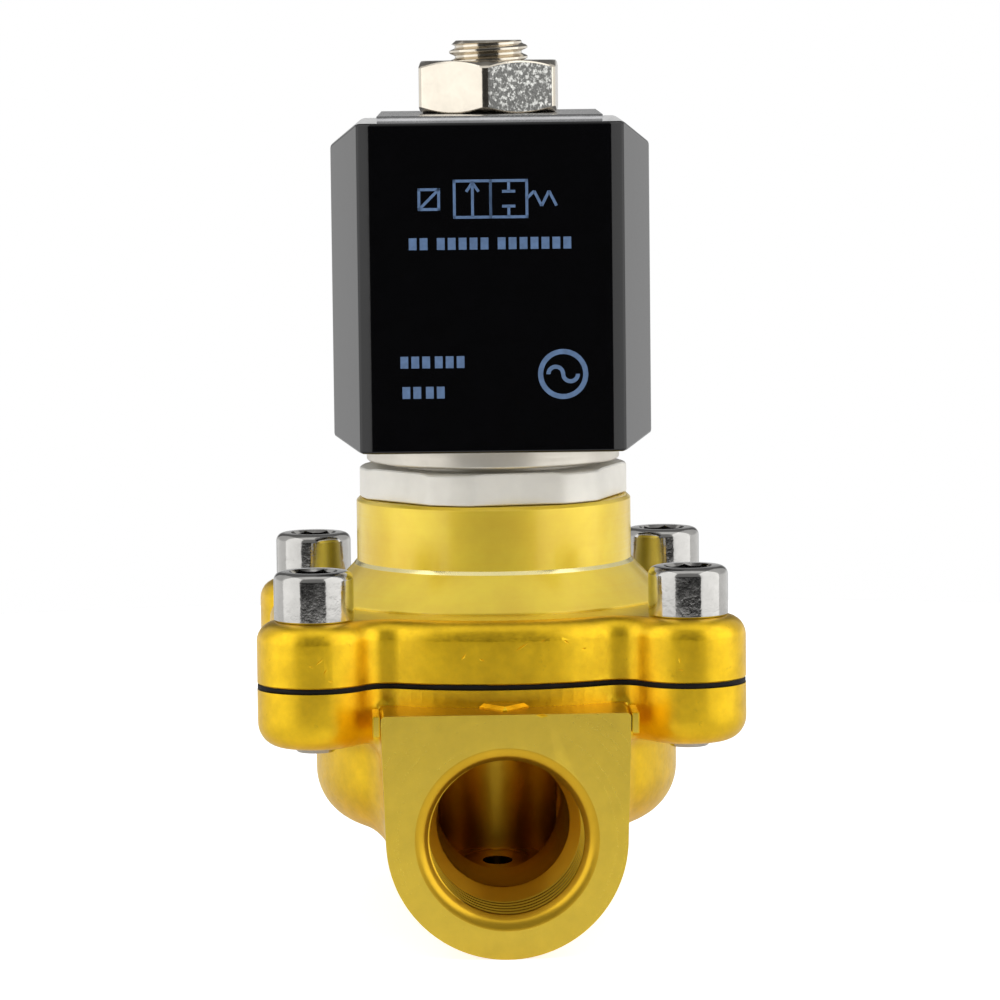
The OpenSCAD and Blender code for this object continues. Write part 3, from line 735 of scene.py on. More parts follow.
def base_washer():
    z0, z1 = levels("base_washer")
    rim_z0, rim_r, hub_r = 42.8, 15.85, 13.0
    bore = TUBE_R + TUBE_GAP
    return lathe(rounded([
        (bore, z0), (hub_r, z0), (hub_r, rim_z0), (rim_r, rim_z0), (rim_r, z1), (bore, z1)
    ], [0.2, 0.1, 0.15, 0.35, 0.25, 0.2], 4), 160)


def coil_nut():
    z0, z1 = levels("coil_nut")
    return hex_ring(17.0, 1.3, 9.81, 8.35, 0.577, STUD_R + 0.02, z0, z1, math.radians(25.3))


def fixed_core():
    z0, z1 = levels("fixed_core")
    tube_z1 = levels("armature_tube")[1]
    core_r, neck_r = 7.15, 4.3
    core = lathe(rounded([
        (0, z0), (core_r, z0), (core_r, tube_z1 - 0.4), (core_r - 0.4, tube_z1), (neck_r, tube_z1),
        (neck_r, tube_z1 + 1), (0, tube_z1 + 1)
    ], [0, 0.2, 0, 0, 0.2, 0, 0], 3), 96)
    groove = lathe([(4.5, z0 - 1), (6, z0 - 1), (6, z0 + 1.6), (4.5, z0 + 1.6)], 96)
    cut(core, groove)
    stud = thread(STUD_R, STUD_R - 0.72, 1.25, tube_z1 - 2, z1 + 2, 96, 10)
    common(stud, lathe(rounded([
        (0, tube_z1 + 0.2), (neck_r, tube_z1 + 0.2), (STUD_R, tube_z1 + 0.9), (STUD_R, z1 - 0.75),
        (STUD_R - 0.85, z1), (0, z1)
    ], [0, 0, 0.1, 0.2, 0.15, 0], 3), 96))
    return unite(core, stud)


def coil_spring():
    """Wire with closed ends, wound round the stem."""
    z0, z1 = levels("plunger_spring")
    wire_r, spring_r, turns, sides, steps = 0.35, 2.9, 8, 10, 40
    rings = []
    for i in range(turns * steps + 1):
        share = i / (turns * steps)
        closing = share + 0.055 * math.sin(TAU * share)
        a = TAU * turns * share
        z = z0 + wire_r + (z1 - z0 - 2 * wire_r) * closing
        unit = (math.cos(a), math.sin(a))
        rings.append([
            ((spring_r + wire_r * math.cos(TAU * j / sides)) * unit[0],
            (spring_r + wire_r * math.cos(TAU * j / sides)) * unit[1],
             z + wire_r * math.sin(TAU * j / sides))
            for j in range(sides)
        ])
    return loft(rings)


# coil, drawn square and then turned with the coil
COIL_Z0, COIL_Z1 = levels("coil_moulding")
FACE_HALF_W = 16.2
HALF_D = 18.0
HALF_W = 19.7
SIDE_FRONT_Y = 6.5
SIDE_TOP_Z = 82.4
SIDE_BOTTOM_Z = 46.4
YOKE_T = 1.5
YOKE_W = 27.5
YOKE_HALF_D = HALF_D - 0.4
YOKE_Z1 = levels("yoke_bracket")[1]
BASE_HALF = 14.0
BASE_Z = 64.0
BASE_Y = 23.0
BLADE_OFFSET = 9.0


def coil_block():
    corner = 1.75
    quarter = [(FACE_HALF_W - corner, HALF_D), (FACE_HALF_W, HALF_D - 0.35 * corner),
        (HALF_W, SIDE_FRONT_Y)]
    right = quarter + [(x, -y) for x, y in reversed(quarter)]
    plan = right + [(-x, y) for x, y in reversed(right)]
    elevation = [
        (-FACE_HALF_W, COIL_Z0), (FACE_HALF_W, COIL_Z0), (HALF_W, SIDE_BOTTOM_Z), (HALF_W, SIDE_TOP_Z),
        (FACE_HALF_W, COIL_Z1), (-FACE_HALF_W, COIL_Z1), (-HALF_W, SIDE_TOP_Z), (-HALF_W, SIDE_BOTTOM_Z)
    ]
    side_view = prism(elevation, -HALF_D - 2, HALF_D + 2)
    moved(side_view, Matrix.Rotation(math.radians(90), 4, "X"))
    block_shape = common(prism(plan, COIL_Z0 - 2, COIL_Z1 + 2), side_view)
    return soften(tidy(block_shape), 0.35, 3, angle=8)


def tidy(obj):
    """Joins the flat faces that a boolean leaves split."""
    edit = bmesh.new()
    edit.from_mesh(obj.data)
    bmesh.ops.remove_doubles(edit, verts=edit.verts, dist=1e-4)
    bmesh.ops.dissolve_limit(edit, angle_limit=math.radians(1), verts=edit.verts, edges=edit.edges)
    edit.to_mesh(obj.data)
    edit.free()
    return obj


def facing_back(outline, y0, y1):
    """A prism along y, from an outline of (x, z)."""
    shape = prism([(-x, z) for x, z in outline], y0, y1)
    return moved(shape, Matrix(((-1, 0, 0, 0), (0, 0, 1, 0), (0, 1, 0, 0), (0, 0, 0, 1))))


def rectangle(half_w, half_h, x=0.0, z=0.0, radius=0.0, steps=4):
    points = [(x - half_w, z - half_h), (x + half_w, z - half_h), (x + half_w, z + half_h),
        (x - half_w, z + half_h)]
    return rounded(points, radius, steps) if radius else points


def yoke_profile(grow=0.0):
    """Side view of the U-shaped bracket as (y, z), with bent corners."""
    d, t = YOKE_HALF_D + grow, YOKE_T + 2 * grow
    z0 = COIL_Z0 + YOKE_T
    points = [(-d, z0), (-d, YOKE_Z1 + grow), (d, YOKE_Z1 + grow), (d, z0), (d - t, z0),
        (d - t, YOKE_Z1 + grow - t), (-d + t, YOKE_Z1 + grow - t), (-d + t, z0)]
    return rounded(points, [0.1, 1.1, 1.1, 0.1, 0.1, 0.3, 0.3, 0.1], 5)


def yoke_solid(grow=0.0):
    half_w = YOKE_W / 2 + grow
    shape = prism(yoke_profile(grow), -half_w, half_w)
    return moved(shape, Matrix(((0, 0, 1, 0), (1, 0, 0, 0), (0, 1, 0, 0), (0, 0, 0, 1))))


def yoke_bracket():
    shape = yoke_solid()
    hole = cylinder(STUD_R + 0.3, 80, 90, 64)
    window = facing_back(rectangle(12, 8, 0, 62, 1.0), YOKE_HALF_D - YOKE_T - 1, YOKE_HALF_D + 1)
    cut(shape, hole, window)
    return soften(tidy(shape), 0.3, 3, angle=30)


def coil_moulding():
    shape = coil_block()
    base = facing_back(rectangle(BASE_HALF, BASE_HALF, 0, BASE_Z, 1.2, 5), HALF_D - 1.5, BASE_Y)
    soften(base, 0.3, 2, angle=40)
    unite(shape, base)
    # shallow recesses round the blades, and the ring round the screw insert
    for x in (-BLADE_OFFSET, BLADE_OFFSET):
        cut(shape, facing_back(rectangle(1.3, 4.2, x, BASE_Z, 0.5), BASE_Y - 0.5, BASE_Y + 1))
    cut(shape, facing_back(rectangle(4.2, 1.3, 0, BASE_Z + BLADE_OFFSET, 0.5), BASE_Y - 0.5, BASE_Y + 1))
    cut(shape, facing_back(rectangle(4.2, 1.3, 0, BASE_Z - BLADE_OFFSET, 0.5), BASE_Y - 0.5, BASE_Y + 1))
    bobbin_r, bobbin_z0, bobbin_z1 = 15.5, COIL_Z0 + YOKE_T, YOKE_Z1 - YOKE_T
    cut(shape, cylinder(bobbin_r, bobbin_z0, bobbin_z1, 96))
    cut(shape, yoke_solid(0.02), block((-YOKE_W / 2, -YOKE_HALF_D, COIL_Z0 - 1),
        (YOKE_W / 2, YOKE_HALF_D, COIL_Z0 + YOKE_T)))
    cut(shape, insert_hole())
    return shape


def insert_hole():
    hole = cylinder(2.25, 16.8, BASE_Y + 1)
    return shifted(along_port(hole, outlet=False), z=BASE_Z)


def yoke_base_plate():
    z0, z1 = levels("yoke_base_plate")
    shape = block((-YOKE_W / 2, -YOKE_HALF_D, z0), (YOKE_W / 2, YOKE_HALF_D, z1), 0.6)
    hole = cylinder(TUBE_R + TUBE_GAP, z0 - 1, z1 + 1, 96)
    return soften(cut(shape, hole), 0.18, 2, angle=40)


def blade(y0, y1):
    """A flat blade along y, 6.3 by 0.8, with a tapered tip and a latch hole."""
    half_w, half_t, tip = 3.15, 0.4, 1.1
    outline = [(-half_w, y0), (half_w, y0), (half_w, y1 - tip), (half_w - tip, y1), (-half_w + tip, y1),
        (-half_w, y1 - tip)]
    shape = prism(outline, -half_t, half_t)
    cut(shape, shifted(cylinder(0.85, -1, 1, 24), 0, y1 - 4.2))
    for side in (-1, 1):
        wedge = block((-5, 0, 0), (5, 3, 1.5))
        tilt = Matrix.Translation((0, y1 - 1.3, side * half_t)) @ Matrix.Rotation(math.radians(-side * 11),
            4, "X")
        moved(wedge, tilt @ Matrix.Scale(side, 4, (0, 0, 1)))
        cut(shape, wedge)
    return soften(shape, 0.06, 2, angle=30)


def terminal_blades():
    upright = Matrix.Rotation(math.radians(90), 4, "Y")
    pair = [moved(blade(17.0, 32.5), Matrix.Translation((x, 0, BASE_Z)) @ upright)
        for x in (-BLADE_OFFSET, BLADE_OFFSET)]
    return gather(pair)


def earth_blade():
    return shifted(blade(YOKE_HALF_D, 32.5), z=BASE_Z + BLADE_OFFSET)


def connector_insert():
    """Knurled brass insert with an M3 thread."""
    y0, y1, radius, teeth = 16.8, BASE_Y, 2.25, 28
    knurl = [((radius - 0.12 * (i % 2)) * math.cos(TAU * i / (2 * teeth)),
        (radius - 0.12 * (i % 2)) * math.sin(TAU * i / (2 * teeth)))
             for i in range(2 * teeth)]
    shape = prism(knurl, y0, y1 - 0.6)
    unite(shape, cylinder(radius - 0.25, y1 - 1, y1))
    cut(shape, lathe([(0, y1 - 5.4), (1.2, y1 - 5.4), (1.2, y1 - 0.3), (1.55, y1 + 0.05), (1.55, y1 + 1),
        (0, y1 + 1)], 40))
    cut(shape, thread(1.5, 1.1, 0.5, y1 - 5.0, y1 + 1, 32, 6, fade=0.5))
    return shifted(along_port(shape, outlet=False), z=BASE_Z)


def winding():
    """Layers of wire seen as crowned turns."""
    z0, z1 = levels("winding")
    inner_r, outer_r, wire = 9.1, 15.3, 0.55
    turns = int((z1 - z0) / wire)
    pitch = (z1 - z0) / turns
    crowns = []
    for i in range(turns):
        for k in range(4):
            crowns.append((outer_r - 0.14 * (1 - math.sin(math.pi * (k + 0.5) / 4)),
                z0 + pitch * (i + (k + 0.5) / 4)))
    return lathe([(inner_r, z0), (outer_r - 0.14, z0)] + crowns + [(outer_r - 0.14, z1), (inner_r, z1)], 96)


# ---- printed marks on the coil's front: a plain two-position valve symbol and neutral bars ----

INK_T = 0.03


def ink_bar(x0, z0, x1, z1, width):
    """A straight printed line from one point to the other."""
    run = Vector((x1 - x0, z1 - z0))
    side = Vector((-run.y, run.x)).normalized() * (width / 2)
    points = [(x0 - side.x, z0 - side.y), (x1 - side.x, z1 - side.y), (x1 + side.x, z1 + side.y),
        (x0 + side.x, z0 + side.y)]
    return facing_back(points, -HALF_D - INK_T, -HALF_D + 0.05)


def ink_frame(x, z, half_w, half_h, width):
    out = []
    for side in (-1, 1):
        out.append(ink_bar(x - half_w - width / 2, z + side * half_h, x + half_w + width / 2,
            z + side * half_h, width))
        out.append(ink_bar(x + side * half_w, z - half_h - width / 2, x + side * half_w,
            z + half_h + width / 2, width))
    return out


def ink_ring(x, z, radius, width, start=0.0, end=TAU, steps=40):
    """A printed arc."""
    count = max(2, round(steps * (end - start) / TAU))
    inner = arc((x, z), radius - width / 2, start, end, count)
    outer = arc((x, z), radius + width / 2, start, end, count)
    verts, faces = [], []
    for a, b in zip(inner, outer):
        for y in (-HALF_D - INK_T, -HALF_D + 0.05):
            verts += [(a[0], y, a[1]), (b[0], y, b[1])]
    for i in range(count):
        p, q = 4 * i, 4 * (i + 1)
        faces += [(p, p + 1, q + 1, q), (p + 2, q + 2, q + 3, p + 3), (p, q, q + 2, p + 2),
            (p + 1, p + 3, q + 3, q + 1)]
    faces += [(0, 2, 3, 1), (4 * count, 4 * count + 1, 4 * count + 3, 4 * count + 2)]
    return solid(verts, faces)


def printed_marks():
    line = 0.34
    x, z, s = 0.0, 76.0, 2.2
    marks = ink_frame(x - s, z, s, s, line) + ink_frame(x + s, z, s, s, line)
    marks += [ink_bar(x - s, z - s, x - s, z + s, line),
        ink_bar(x - s - 0.75, z + s - 1.3, x - s, z + s - 0.2, line),
              ink_bar(x - s + 0.75, z + s - 1.3, x - s, z + s - 0.2, line)]
    for side in (-1, 1):
        marks.append(ink_bar(x + s, z + side * s, x + s, z + side * 0.9, line))
        marks.append(ink_bar(x + s - 0.8, z + side * 0.9, x + s + 0.8, z + side * 0.9, line))
    marks += ink_frame(x - 3 * s - 0.9, z, 1.2, 1.2, line)
    marks.append(ink_bar(x - 3 * s - 2.1, z - 1.2, x - 3 * s + 0.3, z + 1.2, line))
    spring = [(x + 2 * s + 0.9 * i, z + (0.9 if i % 2 else -0.9)) for i in range(1, 5)]
    marks += [ink_bar(*a, *b, line) for a, b in zip([(x + 2 * s, z)] + spring, spring)]
    # plain blocks stand where the real coil has its print
    for start, row, counts in ((-10.0, 70.6, (2, 5, 7)), (-11.2, 56.2, (3, 3)), (-11.0, 52.5, (2, 2))):
        at = start
        for count in counts:
            for i in range(count):
                marks.append(ink_bar(at, row, at + 0.95, row, 1.45))
                at += 1.33
            at += 0.75 if row > 60 else 0.2
    marks.append(ink_ring(8.6, 54.6, 2.75, 0.62))
    marks.append(ink_ring(7.7, 54.6, 0.9, 0.5, 0, math.pi, 24))
    marks.append(ink_ring(9.5, 54.6, 0.9, 0.5, math.pi, TAU, 24))
    return gather(marks)


# ---- materials ----

def node(tree, kind, sockets=None, **settings):
    made = tree.nodes.new("ShaderNode" + kind)
    for key, value in settings.items():
        setattr(made, key, value)
    for name, value in (sockets or {}).items():
        if isinstance(value, bpy.types.NodeSocket):
            tree.links.new(value, made.inputs[name])
        else:
            made.inputs[name].default_value = value
    return made


def math_node(tree, operation, a, b=0.0):
    return node(tree, "Math", {0: a, 1: b}, operation=operation).outputs[0]


def place_in_mm(tree):
    """Position in millimetres about the stem."""
    coords = node(tree, "TexCoord").outputs["Object"]
    return node(tree, "Mapping", {"Vector": coords, "Location": -STEM / MM,
        "Scale": (1 / MM,) * 3}).outputs[0]


def noise(tree, where, size, detail=2.0, rough=0.5):
    """Noise of about that size in millimetres, from 0 to 1."""
    made = node(tree, "TexNoise", {"Vector": where, "Scale": 1 / size, "Detail": detail,
        "Roughness": rough})
    return made.outputs["Fac"]


def spread(tree, value, low, high, from_low=0.3, from_high=0.7):
    return node(tree, "MapRange", {
        "Value": value, "From Min": from_low, "From Max": from_high, "To Min": low, "To Max": high
    }).outputs[0]


def turned_place(tree, where, axis):
    """Coordinates that change across turning marks and hardly along them."""
    parts = node(tree, "SeparateXYZ", {0: where}).outputs
    other = "Y" if axis == "Z" else "Z"
    squares = [math_node(tree, "POWER", parts[n], 2.0) for n in ("X", other)]
    radius = math_node(tree, "SQRT", math_node(tree, "ADD", *squares))
    drift = math_node(tree, "MULTIPLY", parts["X"], 0.02)
    return node(tree, "CombineXYZ", {0: radius, 1: parts[axis], 2: drift}).outputs[0]


def surface(name, color, roughness, metallic=1.0, cloud=(5.0, 0.08), grain=(0.3, 0.06, 0.006),
            turned=None, brushed=None, specks=None, wave=None, anisotropic=0.0, ior=1.5, lacquer=0.0):
    """A procedural finish; sizes and heights are in millimetres.

    cloud is (size, colour change); grain is (size, roughness change, bump height);
    turned is (axis, line size, roughness change, bump height);
    brushed is the same with scale factors for the axis;
    specks is (size, share, colour factor, roughness); wave is (size, height).
    """
    material = bpy.data.materials.new(name)
    material.use_nodes = True
    tree = material.node_tree
    shader = tree.nodes["Principled BSDF"]
    where = place_in_mm(tree)

    size, change = cloud
    mottle = noise(tree, where, size, 4, 0.6)
    dark = [c * (1 - change) for c in color] + [1]
    light = [min(1, c * (1 + change)) for c in color] + [1]
    tint = node(tree, "Mix", {"Factor": spread(tree, mottle, 0, 1), 6: dark, 7: light},
        data_type="RGBA").outputs[2]

    size, change, height = grain
    fine = noise(tree, where, size, 3, 0.6)
    rough = spread(tree, fine, roughness - change, roughness + change)
    bumps = [(fine, height)]
    if turned or brushed:
        lined = turned_place(tree, where, turned[0]) if turned else node(
            tree, "Mapping", {"Vector": where, "Scale": brushed[0]}).outputs[0]
        _, size, change, height = turned or brushed
        lines = noise(tree, lined, size, 5, 0.7)
        rough = math_node(tree, "ADD", rough, spread(tree, lines, -change, change))
        bumps.append((lines, height))
    if wave:
        bumps.append((noise(tree, where, wave[0], 1), wave[1]))
    if specks:
        size, share, factor, speck_rough = specks
        spots = spread(tree, noise(tree, where, size, 5, 0.65), 0, 1, 1 - share - 0.05, 1 - share + 0.05)
        shade = [c * factor for c in color] + [1]
        tint = node(tree, "Mix", {"Factor": spots, 6: tint, 7: shade}, data_type="RGBA").outputs[2]
        rough = node(tree, "Mix", {"Factor": spots, 2: rough, 3: speck_rough}).outputs[0]
    normal = None
    for value, height in bumps:
        if height:
            sockets = {"Height": value, "Distance": height * MM, "Strength": 1.0}
            if normal:
                sockets["Normal"] = normal
            normal = node(tree, "Bump", sockets).outputs[0]
    tree.links.new(tint, shader.inputs["Base Color"])
    tree.links.new(rough, shader.inputs["Roughness"])
    if normal:
        tree.links.new(normal, shader.inputs["Normal"])
    shader.inputs["Metallic"].default_value = metallic
    shader.inputs["IOR"].default_value = ior
    shader.inputs["Coat Weight"].default_value = lacquer
    shader.inputs["Coat Roughness"].default_value = 0.16
    shader.inputs["Anisotropic"].default_value = anisotropic
    shader.inputs["Anisotropic Rotation"].default_value = 0.25
    if anisotropic:
        tangent = node(tree, "Tangent", direction_type="RADIAL", axis=turned[0] if turned else "Z")
        tree.links.new(tangent.outputs[0], shader.inputs["Tangent"])
    return material


MACHINED_BRASS = (0.88, 0.62, 0.05)
forged_brass = surface("forged_brass", (0.91, 0.57, 0.018), 0.37, cloud=(2.6, 0.13),
    grain=(0.45, 0.08, 0.006),
                       specks=(1.6, 0.3, 0.80, 0.45), wave=(5.0, 0.06), lacquer=0.15)
faced_brass = surface("faced_brass", MACHINED_BRASS, 0.33, cloud=(2.5, 0.05), grain=(0.22, 0.05, 0.008),
                      turned=("Y", 0.4, 0.05, 0.004), specks=(0.9, 0.2, 0.85, 0.45), lacquer=0.6)
turned_brass = surface("turned_brass", (1.0, 0.71, 0.065), 0.48, metallic=0.8, cloud=(7.0, 0.10),
    grain=(0.25, 0.03, 0.003),
                       turned=("Z", 0.35, 0.08, 0.010), anisotropic=0.3, lacquer=0.6)
# pale, glossy brass for the thin band between cone and tower: a painted highlight
painted_highlight_brass = surface("painted_highlight_brass", (0.95, 0.84, 0.40), 0.2, cloud=(4.0, 0.05),
    grain=(0.3, 0.03, 0.002))
bored_brass = surface("bored_brass", (0.74, 0.45, 0.03), 0.32, cloud=(5.0, 0.06), grain=(0.25, 0.03, 0.002),
                      turned=("Y", 0.3, 0.03, 0.002), anisotropic=0.3)
# near-black brass for the drill-point dimple in the passage floor: painted shade where the dimple lies in
# shadow
painted_shade_brass = surface("painted_shade_brass", (0.10, 0.055, 0.01), 0.5, cloud=(1.5, 0.2))
nickel_satin = surface("nickel_satin", (0.76, 0.72, 0.64), 0.42, cloud=(4.0, 0.05),
    grain=(0.2, 0.05, 0.004),
                       turned=("Z", 0.22, 0.07, 0.003), anisotropic=0.5, specks=(0.5, 0.15, 0.92, 0.5))
nickel_matt = surface("nickel_matt", (0.95, 0.93, 0.87), 0.55, metallic=0.45, cloud=(4.0, 0.04),
    grain=(0.2, 0.05, 0.010),
                      turned=("Z", 0.22, 0.06, 0.008), anisotropic=0.4, specks=(0.5, 0.15, 0.92, 0.55))
nickel_bright = surface("nickel_bright", (0.72, 0.66, 0.56), 0.15, cloud=(2.2, 0.06),
    grain=(0.3, 0.04, 0.006),
                        specks=(0.35, 0.28, 0.86, 0.30))
nickel_blasted = surface("nickel_blasted", (0.80, 0.80, 0.76), 0.36, cloud=(1.0, 0.15),
    grain=(0.28, 0.12, 0.12),
                         specks=(0.5, 0.55, 0.28, 0.5))
plated_screws = surface("plated_screws", (0.49, 0.48, 0.46), 0.10, cloud=(1.5, 0.06),
    grain=(1.0, 0.04, 0.014),
                        specks=(0.8, 0.3, 0.85, 0.2))
yoke_steel = surface("yoke_steel", (0.66, 0.66, 0.67), 0.24, cloud=(4.0, 0.08), grain=(0.3, 0.05, 0.005),
                     brushed=((0.05, 1.0, 1.0), 0.3, 0.08, 0.006), specks=(1.2, 0.2, 0.8, 0.4))
stainless = surface("stainless", (0.62, 0.61, 0.60), 0.25, grain=(0.25, 0.04, 0.004),
    turned=("Z", 0.25, 0.08, 0.005))
spring_steel = surface("spring_steel", (0.50, 0.50, 0.52), 0.24, grain=(0.12, 0.05, 0.004))
coil_resin = surface("coil_resin", (0.0015, 0.0015, 0.002), 0.075, metallic=0.0, cloud=(3.0, 0.2),
    grain=(1.4, 0.015, 0.003),
                     specks=(0.4, 0.12, 1.5, 0.14))
bobbin_plastic = surface("bobbin_plastic", (0.62, 0.58, 0.46), 0.5, metallic=0.0, grain=(0.4, 0.06, 0.01))
copper_wire = surface("copper_wire", (0.62, 0.26, 0.11), 0.3, cloud=(2.0, 0.15), grain=(0.2, 0.05, 0.004),
    turned=("Z", 0.3, 0.08, 0.006))
black_rubber = surface("black_rubber", (0.004, 0.004, 0.0045), 0.6, metallic=0.0, ior=1.3,
    cloud=(2.0, 0.25), grain=(0.35, 0.1, 0.02))
print_ink = surface("print_ink", (0.13, 0.22, 0.40), 0.45, metallic=0.0, cloud=(0.8, 0.18),
    grain=(0.15, 0.08, 0.004))


# ---- putting the pieces in the frame ----

def add_piece(obj, name, body, nodes, materials, rule=None, turn=0.0, sharp=32):
    """Gives a solid its finishes and ties it to the frame. rule picks each face's finish."""
    mesh = obj.data
    mesh.materials.clear()
    for material in materials:
        mesh.materials.append(material)
    if rule:
        count = len(mesh.polygons)
        centre, normal = np.zeros(count * 3), np.zeros(count * 3)
        mesh.polygons.foreach_get("center", centre)
        mesh.polygons.foreach_get("normal", normal)
        mesh.polygons.foreach_set("material_index",
            rule(centre.reshape(-1, 3).T, normal.reshape(-1, 3).T).astype(np.int32))
    mesh.transform(TO_FRAME @ Matrix.Rotation(turn, 4, "Z"))
    mesh.shade_smooth()
    mesh.set_sharp_from_angle(angle=math.radians(sharp))
    even = obj.modifiers.new("even_normals", "WEIGHTED_NORMAL")
    even.keep_sharp = True
    apply_modifiers(obj)
    obj.name = obj.data.name = name
    if nodes:
        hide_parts(*nodes)
    if name != "diaphragm_sheet":
        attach(obj, body)
    return obj


def body_finish(centre, normal):
    """0 forged, 1 milled faces, 2 bored or threaded, with the boss's flat tops put in this darker finish as
    painted shade, 3 the drill-point dimple, near-black as painted shade.
    """
    x, y, z = centre
    bored = (np.hypot(x, z) < PORT_MOUTH_R) & (np.abs(y) < FACE_Y - 0.05) & (np.abs(normal[1]) < 0.99)
    bored |= (np.hypot(x, y) < CHAMBER_R + 0.1) & (z > PASSAGE_FLOOR_Z - 2) & (np.hypot(x,
        z) < 30) & (np.hypot(x, y) < 10)
    faced = (np.abs(y) > FACE_Y - 0.02) | (z > BODY_FLANGE_Z1 - 0.02)
    # the dimple's faces get the near-black brass: painted shade
    dimple = (z < PASSAGE_FLOOR_Z - 0.5) & (np.hypot(x, y) < 4)
    # the boss's upward flat tops take the darker bored finish: painted shade
    boss_top_painted_shade = (np.abs(z - BOSS_TOP_Z) < 0.02) & (np.abs(y) > 23)
    return np.where(faced, 1, np.where(dimple, 3, np.where(bored | boss_top_painted_shade, 2, 0)))


def bonnet_finish(centre, normal):
    """0 forged, 1 turned, 2 the bright line between cone and tower, in pale brass as a painted highlight.
    """
    x, y, z = centre
    turned = (z > BONNET_FLANGE_Z1 + 0.02) | (np.hypot(x, y) < 19.1)
    # the band between cone and tower gets the pale brass: painted highlight
    bright = (np.abs(z - CONE_Z1 + 0.08) < 0.12) & (np.hypot(x, y) > TOWER_R)
    return np.where(bright, 2, np.where(turned, 1, 0))


def nut_finish(centre, normal):
    """One flat of the nut is rougher than the others."""
    rough_flat = math.radians(25.3 - 90)
    return np.where(normal[0] * math.cos(rough_flat) + normal[1] * math.sin(rough_flat) > 0.98, 1, 0)


BODY_FINISHES = [forged_brass, faced_brass, bored_brass, painted_shade_brass]
BONNET_FINISHES = [forged_brass, turned_brass, painted_highlight_brass]
NUT_FINISHES = [nickel_bright, nickel_blasted]
HOUSING = [
    (valve_body, "body_forging", "forged_brass", ["valve_body"], BODY_FINISHES, body_finish),
    (bonnet, "bonnet_forging", "forged_brass", ["bonnet"], BONNET_FINISHES, bonnet_finish),
    (diaphragm, "diaphragm_sheet", "black_rubber", ["diaphragm"], [black_rubber], None),
    (cap_screws, "socket_screws", "plated_screws", ["cap_screws"], [plated_screws], None),
    (ring_nut, "tube_ring_nut", "nickel_satin", ["ring_nut"], [nickel_matt], None),
    (base_washer, "coil_seat_washer", "nickel_satin", ["base_washer"], [nickel_satin], None),
    (coil_nut, "stud_nut", "nickel_bright", ["coil_nut"], NUT_FINISHES, nut_finish),
    (fixed_core, "core_and_stud", "nickel_bright", ["fixed_core"], [nickel_bright], None),
    (coil_spring, "wound_spring", "spring_steel", ["plunger_spring"], [spring_steel], None),
]
COIL = [
    (coil_moulding, "coil_casing", "coil_resin", ["coil_moulding"], [coil_resin]),
    (winding, "wire_winding", "copper", ["winding"], [copper_wire]),
    (yoke_bracket, "yoke_strip", "yoke_steel", ["yoke_bracket"], [yoke_steel]),
    (yoke_base_plate, "yoke_plate", "yoke_steel", ["yoke_base_plate"], [yoke_steel]),
    (terminal_blades, "coil_blades", "nickel_satin", ["terminal_blades"], [nickel_satin]),
    (earth_blade, "ground_blade", "nickel_satin", ["earth_blade"], [nickel_satin]),
    (connector_insert, "threaded_insert", "turned_brass", ["connector_insert"], [bored_brass]),
    (printed_marks, "printed_marks", "print_ink", [], [print_ink]),
]
pieces = {}
for make, name, slot, nodes, finishes, rule in HOUSING:
    pieces[name] = add_piece(make(), name, "housing", nodes, finishes, rule)
for make, name, slot, nodes, finishes in COIL:
    pieces[name] = add_piece(make(), name, "coil", nodes, finishes, turn=COIL_TURN)
blend_by_radius(pieces["diaphragm_sheet"], moving_r=10.6, still_r=18.2)

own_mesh(pieces["wound_spring"])

# inner pieces whose CAD shape is right get their finishes only
INNER = {
    "lower_plate": stainless, "lift_cup": stainless, "pilot_nozzle": turned_brass,
    "nozzle_nut": turned_brass,
    "plunger": stainless, "plunger_seal": black_rubber, "armature_tube": stainless,
    "shading_ring": copper_wire,
    "tube_o_ring": black_rubber, "bobbin": bobbin_plastic, "lead_wires": copper_wire
}
for name, material in INNER.items():
    frame["nodes"][name].data.materials.clear()
    frame["nodes"][name].data.materials.append(material)


# ---- studio ----

def facing(obj, target):
    obj.rotation_euler = (Vector(target) - obj.location).to_track_quat("-Z", "Y").to_euler()


def softbox(name, place, size, radiance, target=(0, 0, 35)):
    """A rectangular area light of even radiance; place and target are in millimetres about the stem."""
    light = bpy.data.lights.new(name, "AREA")
    light.shape = "RECTANGLE"
    light.size, light.size_y = size[0] * MM, size[1] * MM
    light.energy = radiance * math.pi * light.size * light.size_y
    obj = bpy.data.objects.new(name, light)
    bpy.context.scene.collection.objects.link(obj)
    obj.location = TO_FRAME @ Vector(place)
    facing(obj, TO_FRAME @ Vector(target))
    obj.visible_camera = False


def studio_floor():
    """A pale round table top under the valve's lowest point."""
    radius, steps = 330.0, 96
    edit = bmesh.new()
    bmesh.ops.create_circle(edit, cap_ends=True, segments=steps, radius=radius * MM)
    mesh = bpy.data.meshes.new("studio_floor")
    edit.to_mesh(mesh)
    edit.free()
    floor = bpy.data.objects.new("studio_floor", mesh)
    bpy.context.scene.collection.objects.link(floor)
    floor.location = (STEM.x, STEM.y, cad_box[0].z)
    material = bpy.data.materials.new("floor_white")
    material.use_nodes = True
    tree = material.node_tree
    shader = tree.nodes["Principled BSDF"]
    shade = spread(tree, noise(tree, place_in_mm(tree), 60, 3), 0.84, 0.88)
    tree.links.new(node(tree, "CombineColor", {0: shade, 1: shade, 2: shade}).outputs[0],
        shader.inputs["Base Color"])
    shader.inputs["Roughness"].default_value = 0.9
    # the eye sees the table brighter than the valve does, so that it runs into the white behind it
    seen = node(tree, "LightPath").outputs["Is Camera Ray"]
    glow = math_node(tree, "ADD", math_node(tree, "MULTIPLY", seen, 0.6), 0.15)
    shader.inputs["Emission Color"].default_value = (1, 1, 1, 1)
    tree.links.new(glow, shader.inputs["Emission Strength"])
    mesh.materials.append(material)


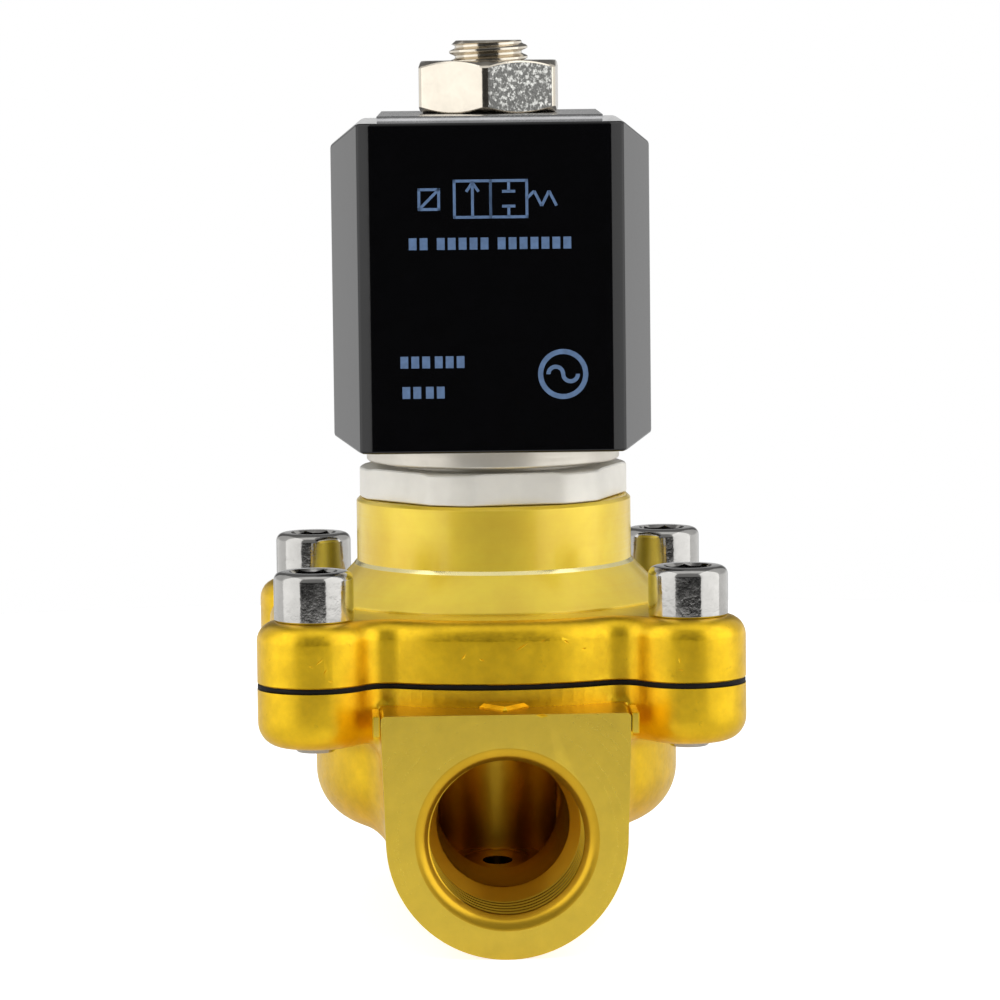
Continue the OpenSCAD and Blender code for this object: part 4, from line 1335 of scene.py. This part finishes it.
def ramp(tree, value, stops):
    """A grey curve through (value from -1 to 1, brightness) stops."""
    made = node(tree, "ValToRGB", {"Fac": spread(tree, value, 0, 1, -1, 1)})
    elements = made.color_ramp.elements
    while len(elements) < len(stops):
        elements.new(0.5)
    for element, (place, grey) in zip(elements, stops):
        element.position = (place + 1) / 2
        element.color = (grey, grey, grey, 1)
    return made.outputs[0]


def studio_world():
    """White to the eye. To the valve it is pale behind and beside, and dark in front,
    as in a light tent with an open front."""
    world = bpy.data.worlds.new("studio")
    bpy.context.scene.world = world
    world.use_nodes = True
    tree = world.node_tree
    tree.nodes.clear()
    direction = node(tree, "SeparateXYZ", {0: node(tree, "TexCoord").outputs["Generated"]}).outputs
    level = ramp(tree, direction["Y"], [
        (-1.0, 0.03), (-0.82, 0.035), (-0.74, 0.25), (0.0, 0.45), (0.35, 0.5), (0.88, 0.55), (0.95, 0.72),
        (1.0, 0.72)
    ])
    above = ramp(tree, direction["Y"], [(-1.0, 0.24), (-0.4, 0.34), (0.0, 0.38), (0.35, 0.22), (1.0, 0.13)])
    height = spread(tree, direction["Z"], 0, 1, 0.02, 0.2)
    shade = node(tree, "Mix", {"Factor": height, 6: level, 7: above}, data_type="RGBA").outputs[2]
    tent = node(tree, "Background", {"Color": shade, "Strength": 1.0})
    white = node(tree, "Background", {"Color": (1, 1, 1, 1), "Strength": 1.0})
    seen = node(tree, "LightPath").outputs["Is Camera Ray"]
    mix = node(tree, "MixShader", {0: seen, 1: tent.outputs[0], 2: white.outputs[0]})
    node(tree, "OutputWorld", {"Surface": mix.outputs[0]})


def camera():
    """A long lens a little above the valve and a little to its left."""
    place = Vector((-21.70, -616.02, 98.08))
    yaw, pitch, roll = (math.radians(a) for a in (2.094, -5.613, -0.652))
    lens = 177.3
    ahead = Vector((math.sin(yaw) * math.cos(pitch), math.cos(yaw) * math.cos(pitch), math.sin(pitch)))
    level = Vector((math.cos(yaw), -math.sin(yaw), 0))
    upward = level.cross(ahead)
    right = level * math.cos(roll) + upward * math.sin(roll)
    up = upward * math.cos(roll) - level * math.sin(roll)
    data = bpy.data.cameras.new("camera")
    data.lens = lens
    data.sensor_width = 36
    data.clip_start, data.clip_end = 0.01, 20
    obj = bpy.data.objects.new("camera", data)
    bpy.context.scene.collection.objects.link(obj)
    obj.matrix_world = Matrix.Translation(TO_FRAME @ place) @ Matrix((right, up,
        -ahead)).transposed().to_4x4()
    bpy.context.scene.camera = obj


camera()
studio_floor()
studio_world()
softbox("softbox_left", (-900, -480, 600), (1180, 1800), 1.08, (0, -480, 600))
softbox("softbox_right", (900, -620, 600), (1440, 1800), 1.2, (0, -620, 600))
softbox("softbox_side_left", (-900, 910, 650), (1590, 1900), 0.42, (0, 910, 650))
softbox("softbox_side_right", (900, 910, 650), (1590, 1900), 0.42, (0, 910, 650))
softbox("softbox_top", (0, -250, 1000), (1300, 700), 0.5, (0, -250, 0))
bpy.context.scene.view_settings.view_transform = "Standard"
bpy.context.scene.view_settings.look = "None"
